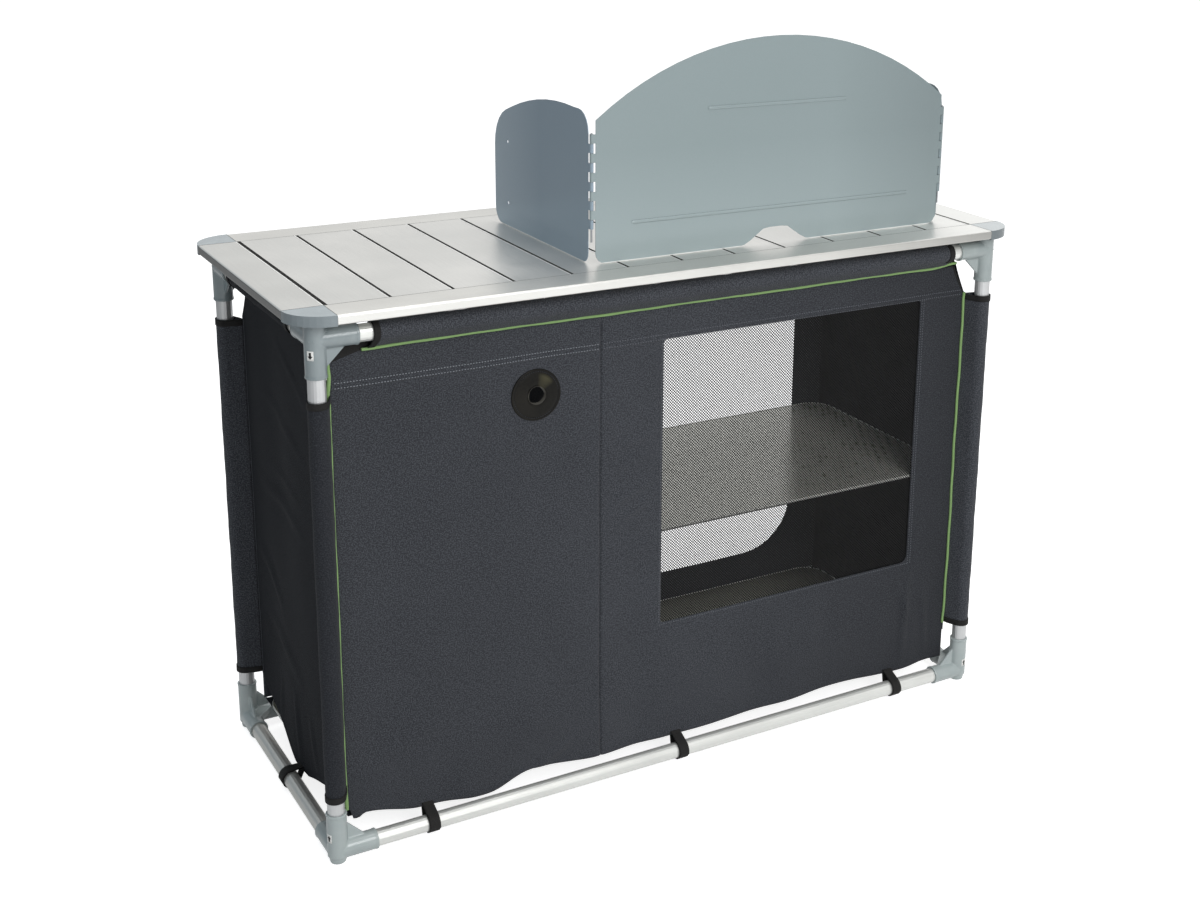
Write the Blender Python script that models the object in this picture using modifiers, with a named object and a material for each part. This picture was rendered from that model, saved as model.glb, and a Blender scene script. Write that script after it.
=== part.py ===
"""Camp kitchen unit: a plug-in tube frame with a slatted aluminium top, a folding
windscreen and a sewn cabinet that hangs in the frame.

Metres, +Z up. The origin is at floor level under the middle of the top. +X runs along
the top and -Y is the closed long side, so the cabinet opens towards +Y.
"""
import math

import bmesh
import bpy
from mathutils import Matrix, Vector

# Tabletop
TOP_HEIGHT = 0.800
TOP_LENGTH = 1.1792
TOP_DEPTH = 0.5014
TOP_THICK = 0.0135
END_RAIL_WIDTH = 0.0566
LONG_RAIL_WIDTH = 0.0534
RAIL_WALL = 0.0014
RAIL_EDGE_R = 0.0025
LEDGE_REACH = 0.010
SLAT_COUNT = 12
SLAT_GAP = 0.0025
SLAT_THICK = 0.0080
SLAT_WALL = 0.0012
SLAT_EDGE_R = 0.0010
CORNER_DROP = 0.0010
TONGUE_LENGTH = 0.018

# Frame
LEG_INSET = 0.0371
TUBE_R = 0.0120
TUBE_WALL = 0.0011
RAIL_CLEARANCE = 0.0043
TOP_RAIL_DROP = 0.0245
SOCKET_WALL = 0.0018
SOCKET_REACH = 0.056
LOW_MOUTH_REACH = 0.0585
HIGH_MOUTH_REACH = 0.052
SOCKET_STOP = 0.002
WEB_LEG = 0.025
WEB_THICK = 0.004
GUSSET_LEG = 0.042
GUSSET_RISE = 0.002
GUSSET_THICK = 0.010
FOOT_R = 0.0108
FOOT_TAPER = 0.004
PEG_R = 0.008
PEG_LENGTH = 0.008

# Windscreen
SCREEN_THICK = 0.0010
SCREEN_INSET_X = 0.0971
SCREEN_INSET_Y = 0.0902
SCREEN_WIDTH = 0.621
SCREEN_SIDE_H = 0.2060
SCREEN_ARCH_RISE = 0.1055
SCREEN_CORNER_R = 0.016
NOTCH_WIDTH = 0.133
NOTCH_HEIGHT = 0.025
NOTCH_FLATNESS = 1.25
BEAD_WIDTH = 0.005
BEAD_PROUD = 0.0008
UPPER_BEAD_LENGTH = 0.247
UPPER_BEAD_Z = 0.212
LOWER_BEAD_LENGTH = 0.497
LOWER_BEAD_Z = 0.056
WING_LENGTH = 0.3220
WING_TOP_H = 0.2194
WING_ARC_R = 0.495
WING_PEAK_Y = 0.0855
WING_NOSE_R = 0.030
WING_TAIL_R = 0.062
WING_FOOT_R = 0.025
WING_HOLE_R = 0.0025
WING_HOLE_Y = 0.2745
WING_HOLE_HEIGHTS = (0.037, 0.133)
KNUCKLE_PITCH = 0.0136
KNUCKLE_COUNT = 10
KNUCKLE_START = 0.051
ROLL_THINNING = 0.9
NOTCH_GAP = 0.0050
PIN_R = 0.0014
PIN_PLAY = 0.0006
PIN_TAIL = 0.019

# Cabinet
FRONT_BELLY = 0.0042
FRONT_WAVES = (0.23, 0.31, 0.14)
FRONT_FOLDS_Z = (0.06, 0.26)
LEFT_BELLY = 0.0018
LEFT_WAVES = (0.19, 0.27)
LEFT_FOLDS_Z = (0.30, 0.56)
LEFT_SLANT = 0.4
REAR_BELLY = 0.0036
REAR_WAVES = (0.27, 0.17)
REAR_FOLDS_Z = (0.05, 0.10)
SIDE_BELLY = 0.0035
SIDE_WAVES = (0.16, 0.23)
SIDE_SLANT = 0.3
SIDE_FOLDS_Z = (0.10, 0.20)
CALM_EDGE = (0.03, 0.11)
CALM_SLEEVE = 0.06
CALM_TOP = 0.10
CALM_STRAP = 0.030
FRONT_STEP = 0.048
REAR_STEP = 0.082
SIDE_STEP = 0.055
ROW_STRETCH = 1.25
INSIDE_STEP = 0.11
BOX_INSET_X = 0.0216
BOX_INSET_Y = 0.0186
PANEL_INSET = 0.0020
CLOTH = 0.0012
SEAM_DROP = 0.0275
CORNER_CUT = (0.026, 0.046)
SHALLOW_CUT = (0.043, 0.011)
SLEEVE_WALL = 0.0012
SLEEVE_SEAM = 0.009
BARE_LEG_LOW = 0.024
BARE_LEG_HIGH = 0.027
BARE_RAIL = 0.0185
STRAP_WIDTH = 0.014
STRAP_SEAM = 0.006
STRAP_INSET = 0.118
CUT_REACH = 0.02
HEM_ZONE = 0.12
WINDOW_INSET_LEFT = 0.104
WINDOW_INSET_RIGHT = 0.0885
WINDOW_DROP = 0.0495
WINDOW_HEIGHT = 0.452
NET_LAP = 0.008
NET_THICK = 0.0008
NET_BAR = 0.006
NET_COLUMNS = 11
NET_ROWS = 10
GROMMET_ASIDE = 0.102
GROMMET_DROP = 0.1025
GROMMET_R = 0.038
GROMMET_BORE_R = 0.013
GROMMET_NECK_R = 0.030
GROMMET_LIP = 0.0030
GROMMET_EDGE = 0.0008
GROMMET_BACK = 0.0016
PIPING_R = 0.0019
PIPING_LOW_LEFT = 0.067
PIPING_LOW_RIGHT = 0.1035
PIPING_STEP = 0.17
DIVIDER_X = -0.132
DIVIDER_DROP = 0.020
DIVIDER_SWAY = 0.0012
FLOOR_Z = 0.0515
BOARD_THICK = 0.003
BOARD_CORNER_R = 0.040
BOARD_PLAY = 0.0010
SHELF_RISE = 0.3345
DOOR_LOW = 0.113
DOOR_DROP = 0.0695
DOOR_CORNER_R = 0.080
DOOR_SIDE = 0.059
DOOR_MIDDLE = 0.030
ROLL_PITCH = 0.0050
ROLL_TURNS = 3
ROLL_CORE = 0.0035
ROLL_RISE = 0.028
ROLL_STEPS = 12
DOOR_SEAM_DROP = 0.004

# Fits
GAP = 0.0003
SOCKET_GAP = 0.0004
SLEEVE_GAP = 0.0006
CLOTH_GAP = 0.0010

# Hems: place as a share of the wall's half length, then height over the floor
LONG_HEM = ((-1.0, 0.050), (-0.79, 0.036), (-0.60, 0.029), (-0.46, 0.048), (-0.26, 0.037),
            (-0.04, 0.041), (0.30, 0.039), (0.75, 0.039), (1.0, 0.053))
SIDE_HEM = ((-1.0, 0.090), (-0.46, 0.050), (0.0, 0.024), (0.26, 0.024), (0.67, 0.048), (1.0, 0.086))

SEGMENTS = 20
LEG_X = TOP_LENGTH / 2 - LEG_INSET
LEG_Y = TOP_DEPTH / 2 - LEG_INSET
BOX_X = LEG_X - BOX_INSET_X
BOX_Y = LEG_Y - BOX_INSET_Y
SOCKET_R = TUBE_R + SOCKET_GAP + SOCKET_WALL
UNDERSIDE_Z = TOP_HEIGHT - TOP_THICK
LOW_RAIL_Z = SOCKET_R + RAIL_CLEARANCE
HIGH_RAIL_Z = UNDERSIDE_Z - TOP_RAIL_DROP
CABINET_TOP = HIGH_RAIL_Z - SEAM_DROP
STRAP_X = BOX_X - STRAP_INSET
STRAP_PLACES = (-STRAP_X, 0, STRAP_X)
WINDOW_LEFT = DIVIDER_X + WINDOW_INSET_LEFT
WINDOW_RIGHT = BOX_X - WINDOW_INSET_RIGHT
WINDOW_HIGH = CABINET_TOP - WINDOW_DROP
WINDOW_LOW = WINDOW_HIGH - WINDOW_HEIGHT
GROMMET_X = DIVIDER_X - GROMMET_ASIDE
GROMMET_Z = CABINET_TOP - GROMMET_DROP
SHELF_Z = FLOOR_Z + SHELF_RISE
DOOR_HIGH = CABINET_TOP - DOOR_DROP
SCREEN_RIGHT_PIN_X = TOP_LENGTH / 2 - SCREEN_INSET_X
SCREEN_LEFT_PIN_X = SCREEN_RIGHT_PIN_X - SCREEN_WIDTH
SCREEN_PIN_Y = SCREEN_INSET_Y - TOP_DEPTH / 2
KNUCKLE_BORE_R = PIN_R + PIN_PLAY
KNUCKLE_R = KNUCKLE_BORE_R + SCREEN_THICK
INNER_X = TOP_LENGTH / 2 - END_RAIL_WIDTH
INNER_Y = TOP_DEPTH / 2 - LONG_RAIL_WIDTH
FLOOR_TOP = FLOOR_Z + CLOTH + GAP

COLOURS = {
    "aluminium": ((0.66, 0.66, 0.64), 0.38, 0.9),
    "plastic": ((0.23, 0.30, 0.33), 0.55, 0.0),
    "screen": ((0.33, 0.39, 0.40), 0.40, 0.6),
    "steel": ((0.55, 0.56, 0.57), 0.35, 1.0),
    "fabric": ((0.045, 0.050, 0.060), 0.90, 0.0),
    "dark_fabric": ((0.018, 0.018, 0.022), 0.90, 0.0),
    "net": ((0.015, 0.015, 0.015), 0.80, 0.0),
    "rubber": ((0.020, 0.017, 0.015), 0.50, 0.0),
    "piping": ((0.21, 0.38, 0.13), 0.70, 0.0),
    "board": ((0.11, 0.11, 0.09), 0.60, 0.0),
}


# Scene and object helpers

def new_collection(name):
    group = bpy.data.collections.new(name)
    bpy.context.scene.collection.children.link(group)
    return group


for old in list(bpy.data.objects):
    bpy.data.objects.remove(old, do_unlink=True)
PARTS = new_collection("camp_kitchen_unit")
CUTTERS = new_collection("cutters")


def make_material(name, look):
    colour, roughness, metallic = COLOURS[look]
    material = bpy.data.materials.new(name)
    material.use_nodes = True
    shader = material.node_tree.nodes["Principled BSDF"]
    shader.inputs["Base Color"].default_value = (*colour, 1.0)
    shader.inputs["Roughness"].default_value = roughness
    shader.inputs["Metallic"].default_value = metallic
    return material


def object_from(name, mesh, group):
    obj = bpy.data.objects.new(name, mesh)
    group.objects.link(obj)
    return obj


def helper(name, mesh):
    obj = object_from(name, mesh, CUTTERS)
    obj.hide_render = True
    obj.display_type = "WIRE"
    return obj


def mesh_of(obj):
    """The object's evaluated mesh in world space, with its loose caps welded."""
    bpy.context.view_layer.update()
    graph = bpy.context.evaluated_depsgraph_get()
    mesh = bpy.data.meshes.new_from_object(obj.evaluated_get(graph), depsgraph=graph)
    mesh.transform(obj.matrix_world)
    bm = bmesh.new()
    bm.from_mesh(mesh)
    bmesh.ops.remove_doubles(bm, verts=bm.verts, dist=1e-6)
    bm.to_mesh(mesh)
    bm.free()
    return mesh


def take_mesh(obj):
    """Turns a helper object into its plain mesh and removes the helper."""
    mesh = mesh_of(obj)
    bpy.data.objects.remove(obj, do_unlink=True)
    return mesh


def facing_out(mesh):
    """The closed mesh with its faces turned outwards."""
    bm = bmesh.new()
    bm.from_mesh(mesh)
    bmesh.ops.recalc_face_normals(bm, faces=bm.faces)
    bm.to_mesh(mesh)
    bm.free()
    return mesh


def piece(name, mesh, look, origin=(0, 0, 0), smooth=0.6, matrix=None):
    """A named sub-part; its origin is moved to the given point without moving the shape."""
    origin = Vector(origin)
    mesh.transform(Matrix.Translation(-origin))
    mesh.materials.clear()
    mesh.materials.append(make_material(name, look))
    mesh.shade_smooth()
    mesh.set_sharp_from_angle(angle=smooth)
    obj = object_from(name, mesh, PARTS)
    obj.matrix_world = matrix if matrix else Matrix.Translation(origin)
    return obj


def combine(base, others, operation):
    """Boolean of a mesh with more meshes, one at a time."""
    target = helper("base", base)
    tools = [helper("tool", other) for other in others]
    for tool in tools:
        step = target.modifiers.new("step", "BOOLEAN")
        step.operation = operation
        step.solver = "EXACT"
        step.object = tool
    result = take_mesh(target)
    for tool in tools:
        bpy.data.objects.remove(tool, do_unlink=True)
    return result


def joined(base, *others):
    return combine(base, others, "UNION")


def cut(base, *others):
    return combine(base, others, "DIFFERENCE")


# Shape helpers

def frame_matrix(u, v, origin=(0, 0, 0)):
    """Matrix that lays a drawing's x along u and its y along v, at the origin point."""
    u = Vector(u)
    v = Vector(v)
    w = u.cross(v)
    return Matrix.Translation(Vector(origin)) @ Matrix((u, v, w)).transposed().to_4x4()


# A drawing in Y and Z extruded along X, one in X and Z along -Y, one in X and Y along Z
ALONG_X = frame_matrix((0, 1, 0), (0, 0, 1))
ALONG_Y = frame_matrix((1, 0, 0), (0, 0, 1))
ALONG_Z = Matrix.Identity(4)


def extrusion(outline, start, end, matrix, holes=()):
    """A flat outline, with any holes, extruded from start to end along the drawing's normal."""
    curve = bpy.data.curves.new("outline", "CURVE")
    curve.dimensions = "2D"
    curve.fill_mode = "BOTH"
    curve.extrude = (end - start) / 2
    for loop in (outline, *holes):
        spline = curve.splines.new("POLY")
        spline.points.add(len(loop) - 1)
        for point, (x, y) in zip(spline.points, loop):
            point.co = (x, y, 0, 1)
        spline.use_cyclic_u = True
    obj = helper("outline", curve)
    obj.matrix_world = matrix @ Matrix.Translation((0, 0, (start + end) / 2))
    return take_mesh(obj)


def box(low, high):
    bm = bmesh.new()
    bmesh.ops.create_cube(bm, size=1.0)
    low = Vector(low)
    high = Vector(high)
    bmesh.ops.scale(bm, vec=high - low, verts=bm.verts)
    bmesh.ops.translate(bm, vec=(low + high) / 2, verts=bm.verts)
    mesh = bpy.data.meshes.new("box")
    bm.to_mesh(mesh)
    bm.free()
    return mesh


def rod(radius, start, end, segments=SEGMENTS, end_radius=None):
    """A solid round bar or taper between two points."""
    start = Vector(start)
    end = Vector(end)
    bm = bmesh.new()
    bmesh.ops.create_cone(
        bm, cap_ends=True, segments=segments, radius1=radius,
        radius2=radius if end_radius is None else end_radius, depth=(end - start).length)
    turn = (end - start).to_track_quat("Z", "Y").to_matrix().to_4x4()
    bmesh.ops.transform(bm, matrix=Matrix.Translation((start + end) / 2) @ turn, verts=bm.verts)
    mesh = bpy.data.meshes.new("rod")
    bm.to_mesh(mesh)
    bm.free()
    return mesh


def turned(profile, matrix, steps=SEGMENTS):
    """A closed profile of (radius, height) points revolved round the matrix's Z axis."""
    bm = bmesh.new()
    points = [bm.verts.new((radius, 0, height)) for radius, height in profile]
    for index, point in enumerate(points):
        bm.edges.new((points[index - 1], point))
    mesh = bpy.data.meshes.new("profile")
    bm.to_mesh(mesh)
    bm.free()
    obj = helper("profile", mesh)
    obj.matrix_world = matrix
    screw = obj.modifiers.new("turn", "SCREW")
    screw.steps = steps
    screw.render_steps = steps
    screw.use_merge_vertices = True
    screw.merge_threshold = 1e-5
    return facing_out(take_mesh(obj))


def arc(centre, radius, start, end, count):
    """Points along an arc, both ends included; angles in degrees."""
    result = []
    for index in range(count + 1):
        angle = math.radians(start + (end - start) * index / count)
        result.append((centre[0] + radius * math.cos(angle), centre[1] + radius * math.sin(angle)))
    return result


def circle(centre, radius, count):
    return arc(centre, radius, 0, 360, count)[:-1]


def filleted(corners, steps=4):
    """Outline through (x, y, radius) corners, each rounded by its own radius."""
    result = []
    for index, (x, y, radius) in enumerate(corners):
        here = Vector((x, y))
        if radius <= 0:
            result.append((x, y))
            continue
        before = (Vector(corners[index - 1][:2]) - here).normalized()
        after = (Vector(corners[(index + 1) % len(corners)][:2]) - here).normalized()
        half = before.angle(after) / 2
        centre = here + (before + after).normalized() * radius / math.sin(half)
        first = here + before * radius / math.tan(half) - centre
        last = here + after * radius / math.tan(half) - centre
        turn = math.atan2(first.x * last.y - first.y * last.x, first.dot(last))
        for step in range(steps + 1):
            angle = turn * step / steps
            spoke = Matrix.Rotation(angle, 2) @ first
            result.append(tuple(centre + spoke))
    return result


def teardrop(centre, radius, tip, tip_radius, count=12):
    """Outline of a band that wraps a circle and closes at a tip."""
    centre = Vector(centre)
    tip = Vector(tip)
    away = tip - centre
    heading = math.degrees(math.atan2(away.y, away.x))
    spread = math.degrees(math.acos((radius - tip_radius) / away.length))
    band = arc(centre, radius, heading + spread, heading + 360 - spread, count)
    return band + arc(tip, tip_radius, heading - spread, heading + spread, 2)


def loop_band(centre, tip, start, end, matrix):
    """Cloth loop round a tube of the frame, sewn together at its tip."""
    inner = TUBE_R + SLEEVE_GAP
    outer = inner + SLEEVE_WALL
    centre = Vector(centre)
    tip = Vector(tip)
    inner_tip = tip + (centre - tip).normalized() * SLEEVE_SEAM
    return extrusion(teardrop(centre, outer, tip, SLEEVE_WALL), start, end, matrix,
                     holes=[teardrop(centre, inner, inner_tip, SLEEVE_WALL)])


def steps_between(marks, step):
    """Grid lines through every mark, with near-equal lines between them."""
    result = [marks[0]]
    for low, high in zip(marks, marks[1:]):
        count = max(1, round((high - low) / step))
        result += [low + (high - low) * index / count for index in range(1, count + 1)]
    return result


def cloth(us, vs, place, skip=None, thick=CLOTH):
    """A cloth sheet from a grid: place(u, v) gives each point, skip(u, v) leaves cells out."""
    bm = bmesh.new()
    columns = len(us) - 1
    rows = len(vs) - 1
    bmesh.ops.create_grid(bm, x_segments=columns, y_segments=rows, size=1.0)
    unwanted = []
    if skip:
        for face in bm.faces:
            middle = face.calc_center_median()
            column = int((middle.x + 1) / 2 * columns)
            row = int((middle.y + 1) / 2 * rows)
            if skip((us[column] + us[column + 1]) / 2, (vs[row] + vs[row + 1]) / 2):
                unwanted.append(face)
    for vert in bm.verts:
        column = round((vert.co.x + 1) / 2 * columns)
        row = round((vert.co.y + 1) / 2 * rows)
        vert.co = place(us[column], vs[row])
    bmesh.ops.delete(bm, geom=unwanted, context="FACES")
    mesh = bpy.data.meshes.new("cloth")
    bm.to_mesh(mesh)
    bm.free()
    obj = helper("cloth", mesh)
    solid = obj.modifiers.new("thickness", "SOLIDIFY")
    solid.thickness = thick
    solid.offset = 0
    return take_mesh(obj)


def hem_height(points, u, half):
    """Height of a hem at u on a wall of the given half length, smooth between its points."""
    u = u / half
    for (u0, h0), (u1, h1) in zip(points, points[1:]):
        if u <= u1:
            share = max(0.0, (u - u0) / (u1 - u0))
            return h0 + (h1 - h0) * (1 - math.cos(math.pi * share)) / 2
    return points[-1][1]


def fade(value, low, high):
    """0 below low, 1 above high, smooth between."""
    share = min(1.0, max(0.0, (value - low) / (high - low)))
    return share * share * (3 - 2 * share)


# Frame

def corner_directions():
    """Name, leg position and turn of each corner of the frame."""
    return (
        ("front_left", -LEG_X, -LEG_Y, 0),
        ("front_right", LEG_X, -LEG_Y, 90),
        ("rear_right", LEG_X, LEG_Y, 180),
        ("rear_left", -LEG_X, LEG_Y, 270),
    )


def tube(name, start, end):
    """Open-ended aluminium tube."""
    start = Vector(start)
    end = Vector(end)
    length = (end - start).length
    turn = (end - start).to_track_quat("Z", "Y").to_matrix().to_4x4()
    bore = TUBE_R - TUBE_WALL
    profile = ((TUBE_R, length), (TUBE_R, 0), (bore, 0), (bore, length))
    return piece(name, turned(profile, Matrix.Translation(start) @ turn), "aluminium", origin=start)


def build_tubes():
    stop = SOCKET_R + SOCKET_STOP + GAP
    for name, x, y, _turn in corner_directions():
        tube(f"leg_{name}", (x, y, LOW_RAIL_Z + stop), (x, y, HIGH_RAIL_Z - stop))
    for level, z in (("bottom", LOW_RAIL_Z), ("top", HIGH_RAIL_Z)):
        for side, y in (("front", -LEG_Y), ("rear", LEG_Y)):
            tube(f"{level}_rail_{side}", (-LEG_X + stop, y, z), (LEG_X - stop, y, z))
        for side, x in (("left", -LEG_X), ("right", LEG_X)):
            tube(f"{level}_rail_{side}", (x, -LEG_Y + stop, z), (x, LEG_Y - stop, z))


def connector_body(mouth, tail, tail_parts):
    """Three sockets with gusset webs; rails leave along +X and +Y, the leg along +Z."""
    overlap = SOCKET_R / 4
    root = SOCKET_R - overlap
    web = root + WEB_LEG + 2 * overlap
    web_outline = [(root, root), (web, root), (root, web)]
    gusset_outline = [(overlap, overlap), (GUSSET_LEG, overlap), (overlap, GUSSET_LEG)]
    bore_r = TUBE_R + SOCKET_GAP
    bore_start = SOCKET_R + SOCKET_STOP
    beyond = SOCKET_R
    body = joined(
        rod(SOCKET_R, (0, 0, -tail), (0, 0, mouth)),
        rod(SOCKET_R, (0, 0, 0), (SOCKET_REACH, 0, 0)),
        rod(SOCKET_R, (0, 0, 0), (0, SOCKET_REACH, 0)),
        extrusion(web_outline, -WEB_THICK / 2, WEB_THICK / 2, ALONG_Y),
        extrusion(web_outline, -WEB_THICK / 2, WEB_THICK / 2, ALONG_X),
        extrusion(gusset_outline, GUSSET_RISE, GUSSET_RISE + GUSSET_THICK, ALONG_Z),
        *tail_parts)
    return cut(
        body,
        rod(bore_r, (0, 0, bore_start), (0, 0, mouth + beyond)),
        rod(bore_r, (bore_start, 0, 0), (SOCKET_REACH + beyond, 0, 0)),
        rod(bore_r, (0, bore_start, 0), (0, SOCKET_REACH + beyond, 0)))


def build_connectors():
    foot_top = LOW_RAIL_Z - FOOT_TAPER
    foot = rod(FOOT_R, (0, 0, -LOW_RAIL_Z), (0, 0, GAP - foot_top), end_radius=SOCKET_R - GAP)
    low = connector_body(LOW_MOUTH_REACH, foot_top, [foot])
    seat = UNDERSIDE_Z - CORNER_DROP - GAP - HIGH_RAIL_Z
    peg = rod(PEG_R, (0, 0, SOCKET_WALL - seat), (0, 0, -seat - PEG_LENGTH))
    high = connector_body(HIGH_MOUTH_REACH, seat, [peg])
    over = Matrix.Rotation(math.pi, 4, Vector((1, 1, 0)))
    for name, x, y, turn in corner_directions():
        heading = Matrix.Rotation(math.radians(turn), 4, "Z")
        piece(f"bottom_connector_{name}", low.copy(), "plastic",
              matrix=Matrix.Translation((x, y, LOW_RAIL_Z)) @ heading)
        piece(f"top_connector_{name}", high.copy(), "plastic",
              matrix=Matrix.Translation((x, y, HIGH_RAIL_Z)) @ heading @ over)


# Tabletop

def long_rail(name, side):
    """Front or rear rail: hollow, with a ledge that the slat ends lie on."""
    outer = TOP_DEPTH / 2
    ledge_top = TOP_HEIGHT - SLAT_THICK - GAP
    outline = filleted([
        (outer, UNDERSIDE_Z, RAIL_EDGE_R),
        (outer, TOP_HEIGHT, RAIL_EDGE_R),
        (INNER_Y, TOP_HEIGHT, 0),
        (INNER_Y, ledge_top, 0),
        (INNER_Y - LEDGE_REACH, ledge_top, 0),
        (INNER_Y - LEDGE_REACH, UNDERSIDE_Z, 0)], steps=3)
    chamber = [(outer - RAIL_WALL, UNDERSIDE_Z + RAIL_WALL), (outer - RAIL_WALL, TOP_HEIGHT - RAIL_WALL),
               (INNER_Y + RAIL_WALL, TOP_HEIGHT - RAIL_WALL), (INNER_Y + RAIL_WALL, UNDERSIDE_Z + RAIL_WALL)]
    matrix = ALONG_X if side > 0 else Matrix.Rotation(math.pi, 4, "Z") @ ALONG_X
    mesh = extrusion(outline, GAP - INNER_X, INNER_X - GAP, matrix, holes=[chamber])
    piece(name, mesh, "aluminium", origin=(0, side * outer, UNDERSIDE_Z))


def end_rail(name, side):
    outer = TOP_LENGTH / 2
    outline = filleted([
        (outer, UNDERSIDE_Z, RAIL_EDGE_R),
        (outer, TOP_HEIGHT, RAIL_EDGE_R),
        (INNER_X, TOP_HEIGHT, SLAT_EDGE_R),
        (INNER_X, UNDERSIDE_Z, 0)], steps=3)
    chamber = [(outer - RAIL_WALL, UNDERSIDE_Z + RAIL_WALL), (outer - RAIL_WALL, TOP_HEIGHT - RAIL_WALL),
               (INNER_X + RAIL_WALL, TOP_HEIGHT - RAIL_WALL), (INNER_X + RAIL_WALL, UNDERSIDE_Z + RAIL_WALL)]
    matrix = ALONG_Y if side > 0 else Matrix.Rotation(math.pi, 4, "Z") @ ALONG_Y
    mesh = extrusion(outline, -INNER_Y + GAP, INNER_Y - GAP, matrix, holes=[chamber])
    piece(name, mesh, "aluminium", origin=(side * outer, 0, UNDERSIDE_Z))


def table_corner(name, sx, sy):
    """Rounded corner moulding with tongues in both rails and a blind hole for the frame's peg."""
    half_x = TOP_LENGTH / 2
    half_y = TOP_DEPTH / 2
    quarter = [(INNER_X + (half_x - INNER_X) * x, INNER_Y + (half_y - INNER_Y) * y)
               for x, y in arc((0, 0), 1, 0, 90, 10)]
    outline = [(INNER_X, INNER_Y)] + quarter
    low = UNDERSIDE_Z - CORNER_DROP
    body = extrusion(outline, low, TOP_HEIGHT, ALONG_Z)
    play = RAIL_WALL + GAP
    tongue_low = UNDERSIDE_Z + play
    tongue_high = TOP_HEIGHT - play
    into = 2 * play
    tongue_x = box((INNER_X - TONGUE_LENGTH, INNER_Y + play, tongue_low),
                   (INNER_X + into, half_y - play - into, tongue_high))
    tongue_y = box((INNER_X + play, INNER_Y - TONGUE_LENGTH, tongue_low),
                   (half_x - play - into, INNER_Y + into, tongue_high))
    hole = rod(PEG_R + SOCKET_GAP, (LEG_X, LEG_Y, low - play), (LEG_X, LEG_Y, low + PEG_LENGTH + play))
    mesh = cut(joined(body, tongue_x, tongue_y), hole)
    mesh.transform(Matrix.Diagonal((sx, sy, 1, 1)))
    if sx * sy < 0:
        mesh.flip_normals()
    piece(name, mesh, "plastic", origin=(sx * LEG_X, sy * LEG_Y, low))


def build_tabletop():
    long_rail("table_rail_front", -1)
    long_rail("table_rail_rear", 1)
    end_rail("table_rail_left", -1)
    end_rail("table_rail_right", 1)
    table_corner("table_corner_front_left", -1, -1)
    table_corner("table_corner_front_right", 1, -1)
    table_corner("table_corner_rear_right", 1, 1)
    table_corner("table_corner_rear_left", -1, 1)
    pitch = (2 * INNER_X - SLAT_GAP) / SLAT_COUNT
    width = pitch - SLAT_GAP
    low = TOP_HEIGHT - SLAT_THICK
    half = width / 2
    rib = SLAT_WALL / 2
    outline = filleted([
        (-half, low, 0), (half, low, 0),
        (half, TOP_HEIGHT, SLAT_EDGE_R), (-half, TOP_HEIGHT, SLAT_EDGE_R)], steps=2)
    chambers = []
    for left, right in ((-half + SLAT_WALL, -rib), (rib, half - SLAT_WALL)):
        chambers.append([(left, low + SLAT_WALL), (right, low + SLAT_WALL),
                         (right, TOP_HEIGHT - SLAT_WALL), (left, TOP_HEIGHT - SLAT_WALL)])
    reach = INNER_Y - SOCKET_GAP
    slat = extrusion(outline, -reach, reach, ALONG_Y, holes=chambers)
    for index in range(SLAT_COUNT):
        x = -INNER_X + SLAT_GAP + half + pitch * index
        piece(f"slat_{index + 1:02d}", slat.copy(), "aluminium", matrix=Matrix.Translation((x, 0, 0)))


# Windscreen

def screen_base():
    return TOP_HEIGHT + GAP


def knuckle_row(first, offset):
    """Rolled knuckles of one leaf round the pin, in the drawing where the leaf runs along +X
    at -offset from the pin; every second place belongs to the other leaf."""
    tail = 2 * NOTCH_GAP
    thin = SCREEN_THICK * ROLL_THINNING
    start = -offset - thin / 2
    outer = -start
    top = start + thin
    meet = math.degrees(math.asin(top / outer))
    roll = arc((0, 0), outer, -90, meet - 360, 9)
    outline = [(tail, start)] + roll + [(tail, top)]
    rows = []
    for place in range(first, KNUCKLE_COUNT, 2):
        low = screen_base() + KNUCKLE_START + KNUCKLE_PITCH * place
        rows.append(extrusion(outline, low + GAP, low + KNUCKLE_PITCH - GAP, ALONG_Z,
                              holes=[circle((0, 0), KNUCKLE_BORE_R, 8)]))
    return rows


def leaf_offset():
    """Distance from the pin to the middle of each sheet."""
    return KNUCKLE_R - SCREEN_THICK / 2


def main_outline():
    """Outline of the main panel about its middle: arch on top, hose notch below."""
    half = SCREEN_WIDTH / 2 - NOTCH_GAP
    radius = (half ** 2 + SCREEN_ARCH_RISE ** 2) / (2 * SCREEN_ARCH_RISE)
    span = math.degrees(math.asin(half / radius))
    peak = SCREEN_SIDE_H + SCREEN_ARCH_RISE
    arch = arc((0, peak - radius), radius, 90 - span, 90 + span, 22)
    corners = []
    for step in range(13):
        bell = (1 - math.cos(2 * math.pi * step / 12)) / 2
        x = NOTCH_WIDTH * (step / 12 - 0.5)
        corners.append((x, NOTCH_HEIGHT * min(1.0, NOTCH_FLATNESS * bell), 0))
    corners += [(half, 0, SCREEN_CORNER_R)]
    corners += [(x, z, 0) for x, z in arch]
    corners += [(-half, 0, SCREEN_CORNER_R)]
    return filleted(corners)


def bead(length, height):
    """Embossed stiffening bead, proud of the front of the main panel."""
    end = length / 2 - BEAD_WIDTH / 2
    outline = arc((end, height), BEAD_WIDTH / 2, -90, 90, 4) + arc((-end, height), BEAD_WIDTH / 2, 90, 270, 4)
    return extrusion(outline, 0, SCREEN_THICK / 2 + BEAD_PROUD, ALONG_Y)


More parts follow.
